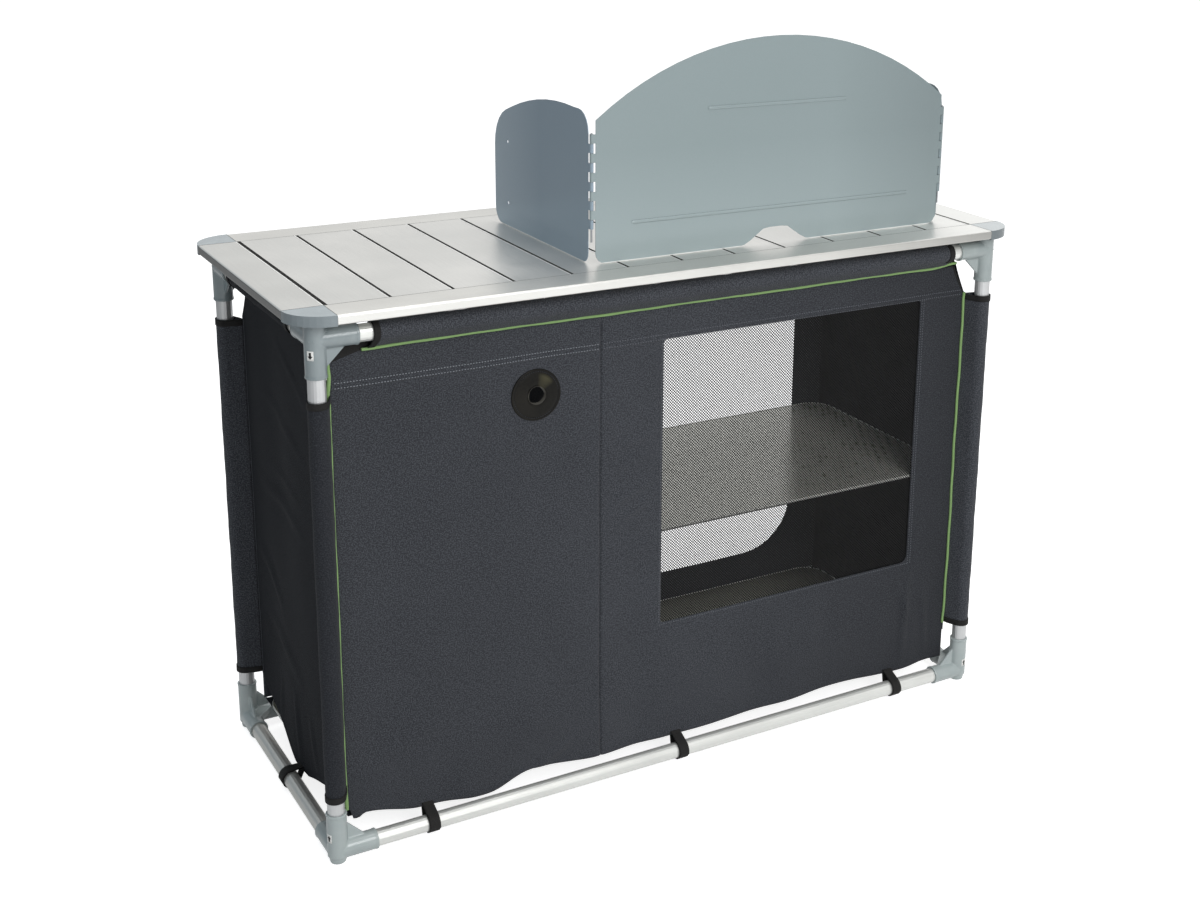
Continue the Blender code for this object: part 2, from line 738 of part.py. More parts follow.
def build_main_panel():
    middle_x = (SCREEN_LEFT_PIN_X + SCREEN_RIGHT_PIN_X) / 2
    sheet_y = SCREEN_PIN_Y - leaf_offset()
    sheet = extrusion(main_outline(), -SCREEN_THICK / 2, SCREEN_THICK / 2, ALONG_Y)
    sheet = joined(sheet, bead(UPPER_BEAD_LENGTH, UPPER_BEAD_Z), bead(LOWER_BEAD_LENGTH, LOWER_BEAD_Z))
    sheet.transform(Matrix.Translation((middle_x, sheet_y, screen_base())))
    left = knuckle_row(1, leaf_offset())
    right = knuckle_row(1, leaf_offset())
    for mesh in left:
        mesh.transform(Matrix.Translation((SCREEN_LEFT_PIN_X, SCREEN_PIN_Y, 0)))
    for mesh in right:
        mesh.transform(Matrix.Translation((SCREEN_RIGHT_PIN_X, SCREEN_PIN_Y, 0))
                       @ Matrix.Diagonal((-1, 1, 1, 1)))
        mesh.flip_normals()
    mesh = joined(sheet, *left, *right)
    piece("windscreen_main", mesh, "screen", origin=(middle_x, sheet_y, screen_base()))


def wing_outline():
    """Outline of a wing, x measured from the pin, z from the tabletop."""
    near = NOTCH_GAP
    far = WING_LENGTH
    tail_start = far - WING_TAIL_R - PANEL_INSET

    def top(x):
        return WING_TOP_H - (x - WING_PEAK_Y) ** 2 / (2 * WING_ARC_R)

    slope = -(tail_start - WING_PEAK_Y) / WING_ARC_R
    corners = [(far, 0, WING_FOOT_R), (far, top(tail_start) + slope * (far - tail_start), WING_TAIL_R)]
    crown_start = near + 1.5 * WING_NOSE_R
    for step in range(8):
        x = tail_start + (crown_start - tail_start) * step / 7
        corners.append((x, top(x), 0))
    corners.append((near, top(crown_start), WING_NOSE_R))
    corners.append((near, 0, SCREEN_CORNER_R))
    return filleted(corners, steps=5)


def build_wing(name, side):
    """A wing stands square to the main panel; its sheet is outside the pin's middle."""
    pin_x = SCREEN_LEFT_PIN_X if side < 0 else SCREEN_RIGHT_PIN_X
    holes = [circle((WING_HOLE_Y, height), WING_HOLE_R, 8) for height in WING_HOLE_HEIGHTS]
    sheet = extrusion(wing_outline(), -SCREEN_THICK / 2, SCREEN_THICK / 2, ALONG_X, holes=holes)
    sheet.transform(Matrix.Translation((-leaf_offset(), 0, screen_base())))
    knuckles = knuckle_row(0, leaf_offset())
    for mesh in knuckles:
        mesh.transform(Matrix(((0, 1, 0, 0), (1, 0, 0, 0), (0, 0, 1, 0), (0, 0, 0, 1))))
        mesh.flip_normals()
    mesh = joined(sheet, *knuckles)
    if side > 0:
        mesh.transform(Matrix.Diagonal((-1, 1, 1, 1)))
        mesh.flip_normals()
    mesh.transform(Matrix.Translation((pin_x, SCREEN_PIN_Y, 0)))
    piece(name, mesh, "screen", origin=(pin_x, SCREEN_PIN_Y, screen_base()))


def build_windscreen():
    build_main_panel()
    build_wing("windscreen_wing_left", -1)
    build_wing("windscreen_wing_right", 1)
    low = screen_base() + KNUCKLE_START - PIN_TAIL
    high = screen_base() + KNUCKLE_START + KNUCKLE_PITCH * KNUCKLE_COUNT + PIN_R
    for side, x in (("left", SCREEN_LEFT_PIN_X), ("right", SCREEN_RIGHT_PIN_X)):
        pin = rod(PIN_R, (x, SCREEN_PIN_Y, low), (x, SCREEN_PIN_Y, high), segments=10)
        piece(f"hinge_pin_{side}", pin, "steel", origin=(x, SCREEN_PIN_Y, low))


# Cabinet

def wave(u, lengths):
    """A soft ripple between 0 and 1 made of a few lengths that don't repeat together."""
    total = sum(math.sin(2 * math.pi * u / length + index) for index, length in enumerate(lengths))
    return (total / len(lengths) + 1) / 2


def front_fold(x, z):
    """How far the front panel bellies out: flat round the window, full near the hem."""
    sides = fade(BOX_X - abs(x), *CALM_EDGE)
    low = 1 - fade(z, *FRONT_FOLDS_Z)
    left = fade(DIVIDER_X - x, 0, CALM_SLEEVE) * (1 - fade(z, *LEFT_FOLDS_Z))
    across = FRONT_BELLY * low * wave(x, FRONT_WAVES)
    slanting = LEFT_BELLY * left * wave(x + z * LEFT_SLANT, LEFT_WAVES)
    return sides * (across + slanting)


def top_edge(u, half, cuts):
    """Top edge of a wall: level, and cut off slantwise at both corners to clear the connectors."""
    width, drop = cuts[0] if u < 0 else cuts[1]
    return CABINET_TOP - drop * max(0.0, (abs(u) - half + width) / width)


def panel_levels(step):
    return steps_between([0.0, HEM_ZONE, WINDOW_LOW, WINDOW_HIGH, CABINET_TOP], step)


def lowered(v, hem):
    """Height of a grid line: those of the lowest zone follow the hem."""
    return hem + (HEM_ZONE - hem) * v / HEM_ZONE if v < HEM_ZONE else v


def sheet_along_x(y, fold, marks, step, cuts, skip=None):
    half = BOX_X - PANEL_INSET
    us = steps_between([-half, cuts[0][0] - half, *marks, half - cuts[1][0], half], step)
    vs = panel_levels(ROW_STRETCH * step)

    def place(u, v):
        z = lowered(v, hem_height(LONG_HEM, u, half))
        if v >= CABINET_TOP:
            z = top_edge(u, half, cuts)
        outward = 1 if y > 0 else -1
        return (u, y + outward * fold(u, z), z)

    return cloth(us, vs, place, skip)


def rail_sleeve(side):
    """Sleeve round a long top rail, sewn to the panel's top edge."""
    reach = LEG_X - SOCKET_REACH - BARE_RAIL
    return loop_band((side * LEG_Y, HIGH_RAIL_Z), (side * BOX_Y, CABINET_TOP), -reach, reach, ALONG_X)


def from_strap(x):
    """0 at a strap of a long panel, 1 away from it."""
    return fade(min(abs(x - place) for place in STRAP_PLACES), 0, CALM_STRAP)


def bottom_straps(side):
    """Three bands from the hem of a long panel round its bottom rail."""
    bands = []
    for x in STRAP_PLACES:
        tip_z = hem_height(LONG_HEM, x, BOX_X) + STRAP_SEAM
        bands.append(loop_band((side * LEG_Y, LOW_RAIL_Z), (side * BOX_Y, tip_z),
                               x - STRAP_WIDTH / 2, x + STRAP_WIDTH / 2, ALONG_X))
    return bands


def build_front_panel():
    def fold(x, z):
        return front_fold(x, z) * from_strap(x)

    def in_window(x, z):
        return WINDOW_LEFT < x < WINDOW_RIGHT and WINDOW_LOW < z < WINDOW_HIGH

    marks = [-STRAP_X, DIVIDER_X, WINDOW_LEFT, WINDOW_RIGHT]
    sheet = sheet_along_x(-BOX_Y, fold, marks, FRONT_STEP, (SHALLOW_CUT, CORNER_CUT), in_window)
    sheet = cut(sheet, rod(GROMMET_NECK_R + CLOTH_GAP, (GROMMET_X, -BOX_Y - CUT_REACH, GROMMET_Z),
                           (GROMMET_X, -BOX_Y + CUT_REACH, GROMMET_Z), segments=16))
    piece("front_panel", joined(sheet, rail_sleeve(-1), *bottom_straps(-1)), "fabric")


def door_spans():
    """Left and right edge of each door opening in the rear panel."""
    return (
        ("left", -BOX_X + DOOR_SIDE, DIVIDER_X - DOOR_MIDDLE),
        ("right", DIVIDER_X + DOOR_MIDDLE, BOX_X - DOOR_SIDE),
    )


def build_rear_panel():
    def fold(x, z):
        low = 1 - fade(z, *REAR_FOLDS_Z)
        sides = fade(BOX_X - abs(x), *CALM_EDGE)
        return REAR_BELLY * sides * low * wave(x, REAR_WAVES) * from_strap(x)

    sheet = sheet_along_x(BOX_Y, fold, [-STRAP_X, DIVIDER_X], REAR_STEP, (CORNER_CUT, CORNER_CUT))
    openings = []
    for _side, left, right in door_spans():
        outline = filleted([
            (left, DOOR_LOW, DOOR_CORNER_R), (right, DOOR_LOW, DOOR_CORNER_R),
            (right, DOOR_HIGH, 0), (left, DOOR_HIGH, 0)])
        openings.append(extrusion(outline, -BOX_Y - CUT_REACH, -BOX_Y + CUT_REACH, ALONG_Y))
    sheet = cut(sheet, *openings)
    piece("rear_panel", joined(sheet, rail_sleeve(1), *bottom_straps(1)), "fabric")


def build_side_wall(name, side):
    """Side wall with its two leg sleeves, its top rail sleeve and its strap."""
    half = BOX_Y
    x_wall = side * BOX_X
    us = steps_between([-half, CORNER_CUT[0] - half, 0, half - CORNER_CUT[0], half], SIDE_STEP)
    vs = panel_levels(ROW_STRETCH * SIDE_STEP)

    def place(u, v):
        z = lowered(v, hem_height(SIDE_HEM, u, half))
        if v >= CABINET_TOP:
            z = top_edge(u, half, (CORNER_CUT, CORNER_CUT))
        calm = fade(half - abs(u), 0, CALM_SLEEVE) * fade(CABINET_TOP - z, 0, CALM_TOP) * fade(z, *SIDE_FOLDS_Z)
        return (x_wall + side * SIDE_BELLY * calm * wave(u + z * SIDE_SLANT, SIDE_WAVES), u, z)

    low = LOW_RAIL_Z + LOW_MOUTH_REACH + BARE_LEG_LOW
    high = HIGH_RAIL_Z - HIGH_MOUTH_REACH - BARE_LEG_HIGH
    parts = []
    for end in (-1, 1):
        parts.append(loop_band((side * LEG_X, end * LEG_Y), (x_wall, end * BOX_Y), low, high, ALONG_Z))
    reach = LEG_Y - SOCKET_REACH - BARE_RAIL
    parts.append(loop_band((side * LEG_X, HIGH_RAIL_Z), (x_wall, CABINET_TOP), -reach, reach, ALONG_Y))
    strap_tip = hem_height(SIDE_HEM, 0.0, half) + STRAP_SEAM
    parts.append(loop_band((side * LEG_X, LOW_RAIL_Z), (x_wall, strap_tip),
                           -STRAP_WIDTH / 2, STRAP_WIDTH / 2, ALONG_Y))
    piece(name, joined(cloth(us, vs, place), *parts), "dark_fabric")


def build_window_net():
    """The net is drawn coarse: a lattice with open cells, lapped behind the window's edge."""
    left = WINDOW_LEFT - NET_LAP
    right = WINDOW_RIGHT + NET_LAP
    low = WINDOW_LOW - NET_LAP
    high = WINDOW_HIGH + NET_LAP
    y = -BOX_Y + CLOTH / 2 + GAP + NET_THICK / 2
    bm = bmesh.new()
    bmesh.ops.create_grid(bm, x_segments=NET_COLUMNS, y_segments=NET_ROWS, size=1.0)
    for vert in bm.verts:
        u, v = (vert.co.x + 1) / 2, (vert.co.y + 1) / 2
        vert.co = (left + (right - left) * u, y, low + (high - low) * v)
    bm.normal_update()
    cells = bmesh.ops.inset_individual(bm, faces=bm.faces[:], thickness=NET_BAR / 2, use_even_offset=True)
    rims = set(cells["faces"])
    bmesh.ops.delete(bm, geom=[face for face in bm.faces if face not in rims], context="FACES")
    mesh = bpy.data.meshes.new("net")
    bm.to_mesh(mesh)
    bm.free()
    obj = helper("net", mesh)
    solid = obj.modifiers.new("thickness", "SOLIDIFY")
    solid.thickness = NET_THICK
    solid.offset = 0
    piece("window_net", take_mesh(obj), "net")


def build_grommet():
    """Turned rubber hose grommet, clamped on both faces of the front panel."""
    face = CLOTH / 2 + GAP
    back_r = (GROMMET_R + GROMMET_NECK_R) / 2
    top = face + GROMMET_LIP
    profile = (
        (GROMMET_R, face + GROMMET_EDGE),
        (GROMMET_R, face),
        (GROMMET_NECK_R, face),
        (GROMMET_NECK_R, -face),
        (back_r, -face),
        (back_r, -face - GROMMET_EDGE),
        (GROMMET_BORE_R, -face - GROMMET_BACK),
        (GROMMET_BORE_R, top),
        (GROMMET_BORE_R + GROMMET_LIP, top + GROMMET_EDGE),
        (GROMMET_BORE_R + 2 * GROMMET_LIP, top - GROMMET_EDGE),
    )
    matrix = Matrix.Translation((GROMMET_X, -BOX_Y, GROMMET_Z)) @ Matrix.Rotation(math.pi / 2, 4, "X")
    piece("hose_grommet", turned(profile, matrix), "rubber", origin=(GROMMET_X, -BOX_Y, GROMMET_Z))


def piping_route():
    """Up the left edge, along the top seam and down the right edge, as (x, z) points."""
    x = BOX_X - PANEL_INSET - PIPING_R
    top = CABINET_TOP - PIPING_R
    up_left = steps_between([PIPING_LOW_LEFT, top - SHALLOW_CUT[1]], PIPING_STEP)
    along_top = steps_between([SHALLOW_CUT[0] - x, x - CORNER_CUT[0]], PIPING_STEP)
    down_right = steps_between([PIPING_LOW_RIGHT, top - CORNER_CUT[1]], PIPING_STEP)[::-1]
    return [(-x, z) for z in up_left] + [(along, top) for along in along_top] + [(x, z) for z in down_right]


def build_piping():
    """Green cord sewn on the front panel's edges, just proud of the cloth."""
    y = -BOX_Y - SLEEVE_WALL - GAP - PIPING_R
    route = piping_route()
    curve = bpy.data.curves.new("piping", "CURVE")
    curve.dimensions = "3D"
    curve.bevel_depth = PIPING_R
    curve.bevel_resolution = 1
    curve.use_fill_caps = True
    spline = curve.splines.new("POLY")
    spline.points.add(len(route) - 1)
    for point, (px, pz) in zip(spline.points, route):
        point.co = (px, y, pz, 1)
    piece("front_piping", take_mesh(helper("piping", curve)), "piping", smooth=1.2)


def inside_depth():
    """Half depth of the cabinet inside its panels and the window net."""
    return BOX_Y - CLOTH / 2 - NET_THICK - 2 * GAP - CLOTH_GAP / 2


def board(name, left, right, top):
    """Stiff board with rounded corners."""
    reach = inside_depth() - CLOTH_GAP / 2
    outline = filleted([
        (left, -reach, BOARD_CORNER_R), (right, -reach, BOARD_CORNER_R),
        (right, reach, BOARD_CORNER_R), (left, reach, BOARD_CORNER_R)], steps=5)
    piece(name, extrusion(outline, top - BOARD_THICK, top, ALONG_Z), "board")


def build_interior():
    inner = BOX_X - CLOTH / 2 - CLOTH_GAP
    deep = inside_depth()
    beside = CLOTH / 2 + DIVIDER_SWAY + BOARD_PLAY
    divider_top = CABINET_TOP - DIVIDER_DROP

    def floor_place(u, v):
        return (u, v, FLOOR_Z)

    def sling_place(u, v):
        return (u, v, SHELF_Z - BOARD_THICK - GAP - CLOTH / 2)

    def divider_place(u, v):
        sway = math.sin(math.pi * (u + deep) / (2 * deep)) * math.sin(2 * math.pi * v / CABINET_TOP)
        return (DIVIDER_X + DIVIDER_SWAY * sway, u, v)

    across = [-deep, deep]
    piece("cabinet_floor", cloth([-inner, DIVIDER_X, inner], across, floor_place), "dark_fabric")
    divider = cloth(steps_between(across, INSIDE_STEP), steps_between([FLOOR_TOP, divider_top], INSIDE_STEP),
                    divider_place)
    piece("divider", divider, "dark_fabric")
    floor_board_top = FLOOR_Z + CLOTH / 2 + GAP + BOARD_THICK
    board("floor_board_left", -inner, DIVIDER_X - beside, floor_board_top)
    board("floor_board_right", DIVIDER_X + beside, inner, floor_board_top)
    board("shelf_board", DIVIDER_X + beside, inner, SHELF_Z)
    sling = cloth([DIVIDER_X + beside, inner + CLOTH_GAP / 2], across, sling_place)
    piece("shelf_sling", sling, "dark_fabric")


def build_door_rolls():
    """Each door is sewn along its top edge and rolled up from below, outside the rear panel."""
    skin_y = BOX_Y + CLOTH + GAP
    points = ROLL_STEPS * ROLL_TURNS
    middle_y = skin_y + ROLL_CORE + ROLL_PITCH * ROLL_TURNS
    middle_z = DOOR_HIGH + ROLL_RISE

    def spiral(offset):
        line = []
        for step in range(points + 1):
            radius = ROLL_CORE + ROLL_PITCH * step / ROLL_STEPS + offset
            angle = math.pi + 2 * math.pi * (step - points) / ROLL_STEPS
            line.append((middle_y + radius * math.cos(angle), middle_z - radius * math.sin(angle)))
        return line

    half = CLOTH / 2
    seam_z = CABINET_TOP - DOOR_SEAM_DROP
    outside = spiral(half) + [(skin_y - half, seam_z)]
    inside = spiral(-half) + [(skin_y + half, seam_z)]
    for side, left, right in door_spans():
        roll = extrusion(outside + inside[::-1], left, right, ALONG_X)
        piece(f"door_roll_{side}", roll, "fabric")


build_tubes()
build_connectors()
build_tabletop()
build_windscreen()
build_front_panel()
build_rear_panel()
build_side_wall("left_wall", -1)
build_side_wall("right_wall", 1)
build_window_net()
build_grommet()
build_piping()
build_interior()
build_door_rolls()
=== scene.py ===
"""Looks of the camp kitchen unit: sewn cloth, moulded plastic, satin metal and a plain studio."""
import math

import bmesh
import bpy
import numpy as np
from mathutils import Matrix, Vector


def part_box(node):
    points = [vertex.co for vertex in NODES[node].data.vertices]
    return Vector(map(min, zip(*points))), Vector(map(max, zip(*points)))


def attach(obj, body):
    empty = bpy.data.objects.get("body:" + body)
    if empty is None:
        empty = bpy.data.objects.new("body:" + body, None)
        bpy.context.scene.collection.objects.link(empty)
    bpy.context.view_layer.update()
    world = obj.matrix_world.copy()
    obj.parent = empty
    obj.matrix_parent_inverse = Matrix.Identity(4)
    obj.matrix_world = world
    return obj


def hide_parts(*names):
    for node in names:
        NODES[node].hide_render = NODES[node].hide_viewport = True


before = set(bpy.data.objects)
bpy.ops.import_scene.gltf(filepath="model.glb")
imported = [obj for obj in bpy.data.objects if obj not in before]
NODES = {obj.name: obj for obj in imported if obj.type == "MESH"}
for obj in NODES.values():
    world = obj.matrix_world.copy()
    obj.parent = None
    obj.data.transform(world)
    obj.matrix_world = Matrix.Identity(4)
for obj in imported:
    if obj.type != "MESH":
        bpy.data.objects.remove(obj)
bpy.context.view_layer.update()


# Places read from the frame

def middle(node):
    low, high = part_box(node)
    return (low + high) / 2


def size(node):
    low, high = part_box(node)
    return high - low


LEG = middle("leg_front_right")
LEG_X, LEG_Y = LEG.x, -LEG.y
TUBE_R = size("leg_front_right").x / 2
HIGH_RAIL_Z = middle("top_rail_front").z
LOW_RAIL_Z = middle("bottom_rail_front").z
FOOT_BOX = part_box("bottom_connector_front_right")
HEAD_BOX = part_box("top_connector_front_right")
LOW_MOUTH_Z = FOOT_BOX[1].z
HIGH_MOUTH_Z = HEAD_BOX[0].z
SOCKET_REACH = LEG_X - FOOT_BOX[0].x
SOCKET_R = -LEG_Y - FOOT_BOX[0].y
TOP_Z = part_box("slat_01")[1].z
BOX_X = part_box("cabinet_floor")[1].x + 0.0016
BOX_Y = -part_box("window_net")[0].y + 0.0009
CABINET_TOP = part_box("divider")[1].z + 0.020
DIVIDER_X = middle("divider").x
NET_LAP = 0.008
NET_LOW, NET_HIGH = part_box("window_net")
WINDOW_LEFT, WINDOW_RIGHT = NET_LOW.x + NET_LAP, NET_HIGH.x - NET_LAP
WINDOW_LOW, WINDOW_HIGH = NET_LOW.z + NET_LAP, NET_HIGH.z - NET_LAP
GROMMET = middle("hose_grommet")
GROMMET_R = size("hose_grommet").x / 2
DOOR_LOW = 0.108
DOOR_HIGH = 0.654
DOOR_CORNER_R = 0.098
DOORS = [(side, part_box(f"door_roll_{side}")[0].x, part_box(f"door_roll_{side}")[1].x)
         for side in ("left", "right")]

# Sewing
CLOTH = 0.0009
BINDING = 0.0011
SLEEVE_R = TUBE_R + 0.0007
STRAP_R = TUBE_R + 0.0011
LEG_LOW = LOW_MOUTH_Z + 0.024
LEG_HIGH = HIGH_MOUTH_Z - 0.027
BARE_RAIL = 0.0185
BINDING_WIDTH = 0.0095
STRAP_WIDTH = 0.0165
STRAP_X = BOX_X - 0.118
NET_PITCH = 0.00325
HEM_ZONE = 0.12
HEM_MARKS = [0.0, 0.0035, 0.0107, 0.0125]
TOP_MARKS = [CABINET_TOP - 0.001, CABINET_TOP]
SEAM_LOW = WINDOW_HIGH + 0.0005
SEAM_HIGH = SEAM_LOW + 0.0070
PANEL_X = BOX_X - 0.0020
PIPING_R = 0.0022
FRONT_LEFT_CUT = (0.043, 0.011)
FRONT_RIGHT_CUT = (0.025, 0.048)
SIDE_CUT = (0.027, 0.048)
LONG_HEM = ((-1.0, 0.066), (-0.986, 0.0472), (-0.976, 0.0472), (-0.953, 0.0535), (-0.79, 0.037),
            (-0.60, 0.030), (-0.46, 0.048), (-0.26, 0.038), (-0.04, 0.037), (0.27, 0.039), (0.56, 0.043),
            (0.80, 0.037), (0.93, 0.041), (1.0, 0.039))
REAR_HEM = ((-1.0, 0.052), (-0.79, 0.037), (-0.5, 0.042), (0.0, 0.037), (0.4, 0.043), (0.79, 0.037),
            (1.0, 0.052))
SIDE_HEM = ((-1.0, 0.088), (-0.13, 0.027), (0.13, 0.027), (1.0, 0.096))
RIGHT_HEM = SIDE_HEM[:3] + ((1.0, 0.050),)

# Moulded connectors
WEB_LEG = 0.025
WEB_THICK = 0.004
GUSSET_LEG = 0.042
GUSSET_RISE = 0.002
GUSSET_THICK = 0.010
RIM_PROUD = 0.0007
RIM_WIDTH = 0.0032
PEG_R = 0.008

# Paths in a loop's own order: its two drawn axes, then the tube's length
UPRIGHT, LENGTHWISE, CROSSWISE = (0, 1, 2), (2, 0, 1), (0, 2, 1)


# Materials

def srgb(code):
    """Linear colour of a hex code."""
    parts = [int(code[at:at + 2], 16) / 255 for at in (0, 2, 4)]
    return tuple(p / 12.92 if p <= 0.04045 else ((p + 0.055) / 1.055) ** 2.4 for p in parts) + (1.0,)


class Nodes:
    """Short calls for the nodes of a material or world. A source is an output, a value or a hex colour."""

    def __init__(self, owner):
        owner.use_nodes = True
        self.tree = owner.node_tree

    def give(self, socket, source):
        if isinstance(source, bpy.types.NodeSocket):
            self.tree.links.new(source, socket)
        else:
            socket.default_value = srgb(source) if isinstance(source, str) else source

    def node(self, kind, links=(), **values):
        made = self.tree.nodes.new("ShaderNode" + kind)
        for name, value in values.items():
            setattr(made, name, value)
        for socket, source in links:
            self.give(made.inputs[socket], source)
        return made

    def parts(self, vector):
        return self.node("SeparateXYZ", [("Vector", vector)]).outputs

    def along(self, place, heading):
        """How far a place lies along a heading."""
        return self.node("VectorMath", [(0, place), (1, heading)], operation="DOT_PRODUCT").outputs["Value"]

    def spread(self, value, low, high, to_low=0.0, to_high=1.0):
        return self.node("MapRange", [("Value", value), ("From Min", low), ("From Max", high),
                                      ("To Min", to_low), ("To Max", to_high)]).outputs[0]

    def math(self, operation, first, second=0.0):
        return self.node("Math", [(0, first), (1, second)], operation=operation).outputs[0]

    def times(self, first, second):
        return self.math("MULTIPLY", first, second)

    def plus(self, first, second):
        return self.math("ADD", first, second)

    def mix(self, amount, first, second):
        return self.node("Mix", [("Factor", amount), (6, first), (7, second)], data_type="RGBA").outputs[2]


class Look(Nodes):
    """A Principled material."""

    def __init__(self, name, roughness, metallic=0.0, specular=0.5):
        self.material = bpy.data.materials.new(name)
        super().__init__(self.material)
        self.shader = self.tree.nodes["Principled BSDF"]
        self.set(Roughness=roughness, Metallic=metallic, Specular_IOR_Level=specular)

    def set(self, **sources):
        for name, source in sources.items():
            self.give(self.shader.inputs[name.replace("_", " ")], source)

    def mapped(self, source, scale):
        return self.node("Mapping", [("Vector", source), ("Scale", scale)]).outputs[0]

    def place(self, scale=(1, 1, 1)):
        return self.mapped(self.node("TexCoord").outputs["Object"], scale)

    def cut(self, scale=(1, 1, 1)):
        """A place on the flat cut, in metres."""
        return self.mapped(self.node("UVMap", uv_map="cut").outputs[0], scale)

    def facing(self):
        return self.parts(self.node("NewGeometry").outputs["Normal"])

    def noise(self, scale, detail=3.0, roughness=0.55, where=None):
        where = where or self.place()
        return self.node("TexNoise", [("Vector", where), ("Scale", scale), ("Detail", detail),
                                      ("Roughness", roughness)]).outputs["Fac"]

    def bands(self, where, period, axis):
        """Smooth bands of the given period in metres, across one axis."""
        return self.node("TexWave", [("Vector", where), ("Scale", 0.314 / period)],
                         wave_type="BANDS", bands_direction=axis, wave_profile="SIN").outputs["Fac"]

    def over(self, tone, colour, value, low, high, to_low=0.0, to_high=1.0):
        """The tone with a colour laid over it by the spread of a value."""
        return self.mix(self.spread(value, low, high, to_low, to_high), tone, colour)

    def bump(self, height, distance, strength=1.0, under=None):
        links = [("Height", height), ("Distance", distance), ("Strength", strength)]
        return self.node("Bump", links + ([("Normal", under)] if under else [])).outputs[0]

    def finish(self, tone, rough, normal):
        self.set(Base_Color=tone, Roughness=rough, Normal=normal)
        return self.material


def lit_from_right(look, tone, lighter, darker):
    """Upper faces grow paler and upright faces darker towards the right end."""
    up = look.spread(look.facing()["Z"], 0.5, 0.9)
    right = look.spread(look.parts(look.place())["X"], 0.22, 0.54)
    tone = look.mix(look.times(look.times(up, right), lighter), tone, (0.98, 0.98, 0.95, 1))
    upright = look.math("SUBTRACT", 1.0, up)
    return look.mix(look.times(look.times(upright, right), darker), tone, (0.03, 0.03, 0.03, 1))


def metal_look(name, along, bright, dull, roughness, metallic=0.55, side_shade=0.0, lighter=0.0, darker=0.0,
               front=0.0):
    """Satin anodised aluminium: fine drawing lines along one axis and faint marks, with painted shade on
    faces turned sideways, a painted highlight on front faces that is strongest towards the left end, and
    painted light and shade towards the right end.
    """
    look = Look(name, roughness, metallic)
    fine = [900, 900, 900]
    fine["XYZ".index(along)] = 9
    lines = look.noise(1.0, 2.0, where=look.place(fine))
    cloudy = look.noise(7.0, 4.0)
    specks = look.noise(260.0, 1.0)
    tone = look.over(dull, bright, cloudy, 0.3, 0.7)
    tone = look.over(tone, (0.30, 0.30, 0.30, 1), lines, 0.35, 0.65, 0.0, 0.10)
    facing = look.facing()
    sideways = look.math("ABSOLUTE", facing["X"])
    # Painted shade: faces turned sideways are darker.
    tone = look.over(tone, (0.02, 0.02, 0.022, 1), sideways, 0.75, 0.95, 0.0, side_shade)
    # Painted highlight: front faces are paler, most towards the left end.
    pale = look.times(look.spread(facing["Y"], -0.95, -0.7, front, 0.0),
                      look.spread(look.parts(look.place())["X"], -0.20, 0.30, 1.0, 0.1))
    tone = lit_from_right(look, look.mix(pale, tone, (0.98, 0.98, 0.96, 1)), lighter, darker)
    rough = look.plus(look.spread(cloudy, 0.3, 0.7, roughness - 0.04, roughness + 0.04),
                      look.spread(specks, 0.4, 0.7, -0.02, 0.03))
    return look.finish(tone, rough, look.bump(lines, 0.00004, 0.5))


def plastic_look(name, colour, shade, lighter=0.0, darker=0.0, side_shade=0.0):
    """Moulded plastic with a fine spark grain and a little tonal drift, painted shade on its side faces and
    painted light and shade towards the right end.
    """
    look = Look(name, 0.36, specular=0.6)
    drift = look.noise(22.0)
    grain = look.noise(1500.0, 1.0)
    tone = look.over(shade, colour, drift, 0.3, 0.7)
    streaks = look.noise(60.0, 2.0, where=look.place((1, 1, 0.3)))
    tone = look.over(tone, "BCC7C8", streaks, 0.55, 0.8, 0.0, 0.2)
    # Painted shade: side faces are darker.
    tone = look.over(tone, "3A444A", look.facing()["Z"], 0.3, 0.8, side_shade, 0.0)
    tone = lit_from_right(look, tone, lighter, darker)
    rough = look.plus(look.spread(grain, 0.3, 0.7, 0.18, 0.25), look.spread(drift, 0.3, 0.7, -0.02, 0.02))
    return look.finish(tone, rough, look.bump(drift, 0.0002, 0.4, look.bump(grain, 0.00006, 0.6)))


def screen_look(name, dark, light, metallic, right=0.0, rear=0.0, foot=0.22):
    """Windscreen sheet: satin grey-blue coating, darker cut edges and a pale line along its foot, with
    painted light towards its foot and its rear and painted shade towards its right end.
    """
    look = Look(name, 0.24, metallic, 0.5)
    drift = look.noise(2.2, 2.0)
    tone = look.over(dark, light, drift, 0.35, 0.65)
    tone = look.over(tone, "B4C0C2", look.noise(2200.0, 0.0), 0.5, 0.75, 0.0, 0.10)
    where = look.parts(look.place())
    # Painted light: paler towards the foot.
    tone = look.over(tone, "B9C6C8", where["Z"], TOP_Z, TOP_Z + 0.16, foot, 0.0)
    # Painted shade: darker towards the right end.
    tone = look.over(tone, "3C474A", where["X"], 0.28, 0.47, 0.0, right)
    # Painted light: paler towards the rear.
    tone = look.over(tone, "D6E2EA", where["Y"], 0.0, 0.15, 0.0, rear)
    tone = look.over(tone, "20262A", look.facing()["Z"], 0.55, 0.75, 0.0, 0.55)
    tone = look.over(tone, "E4E6E4", where["Z"], TOP_Z + 0.0014, TOP_Z + 0.0018, 1.0, 0.0)
    grain = look.bump(look.noise(300.0, 1.0), 0.00002, 0.2)
    return look.finish(tone, look.spread(drift, 0.3, 0.7, 0.22, 0.26), grain)


def steel_look():
    look = Look("steel_wire", 0.30, 1.0)
    lines = look.noise(1.0, 2.0, where=look.place((1500, 1500, 40)))
    tone = look.over("8C8F92", "C4C6C8", lines, 0.3, 0.7)
    return look.finish(tone, look.spread(lines, 0.3, 0.7, 0.22, 0.40), look.bump(lines, 0.00003, 0.5))


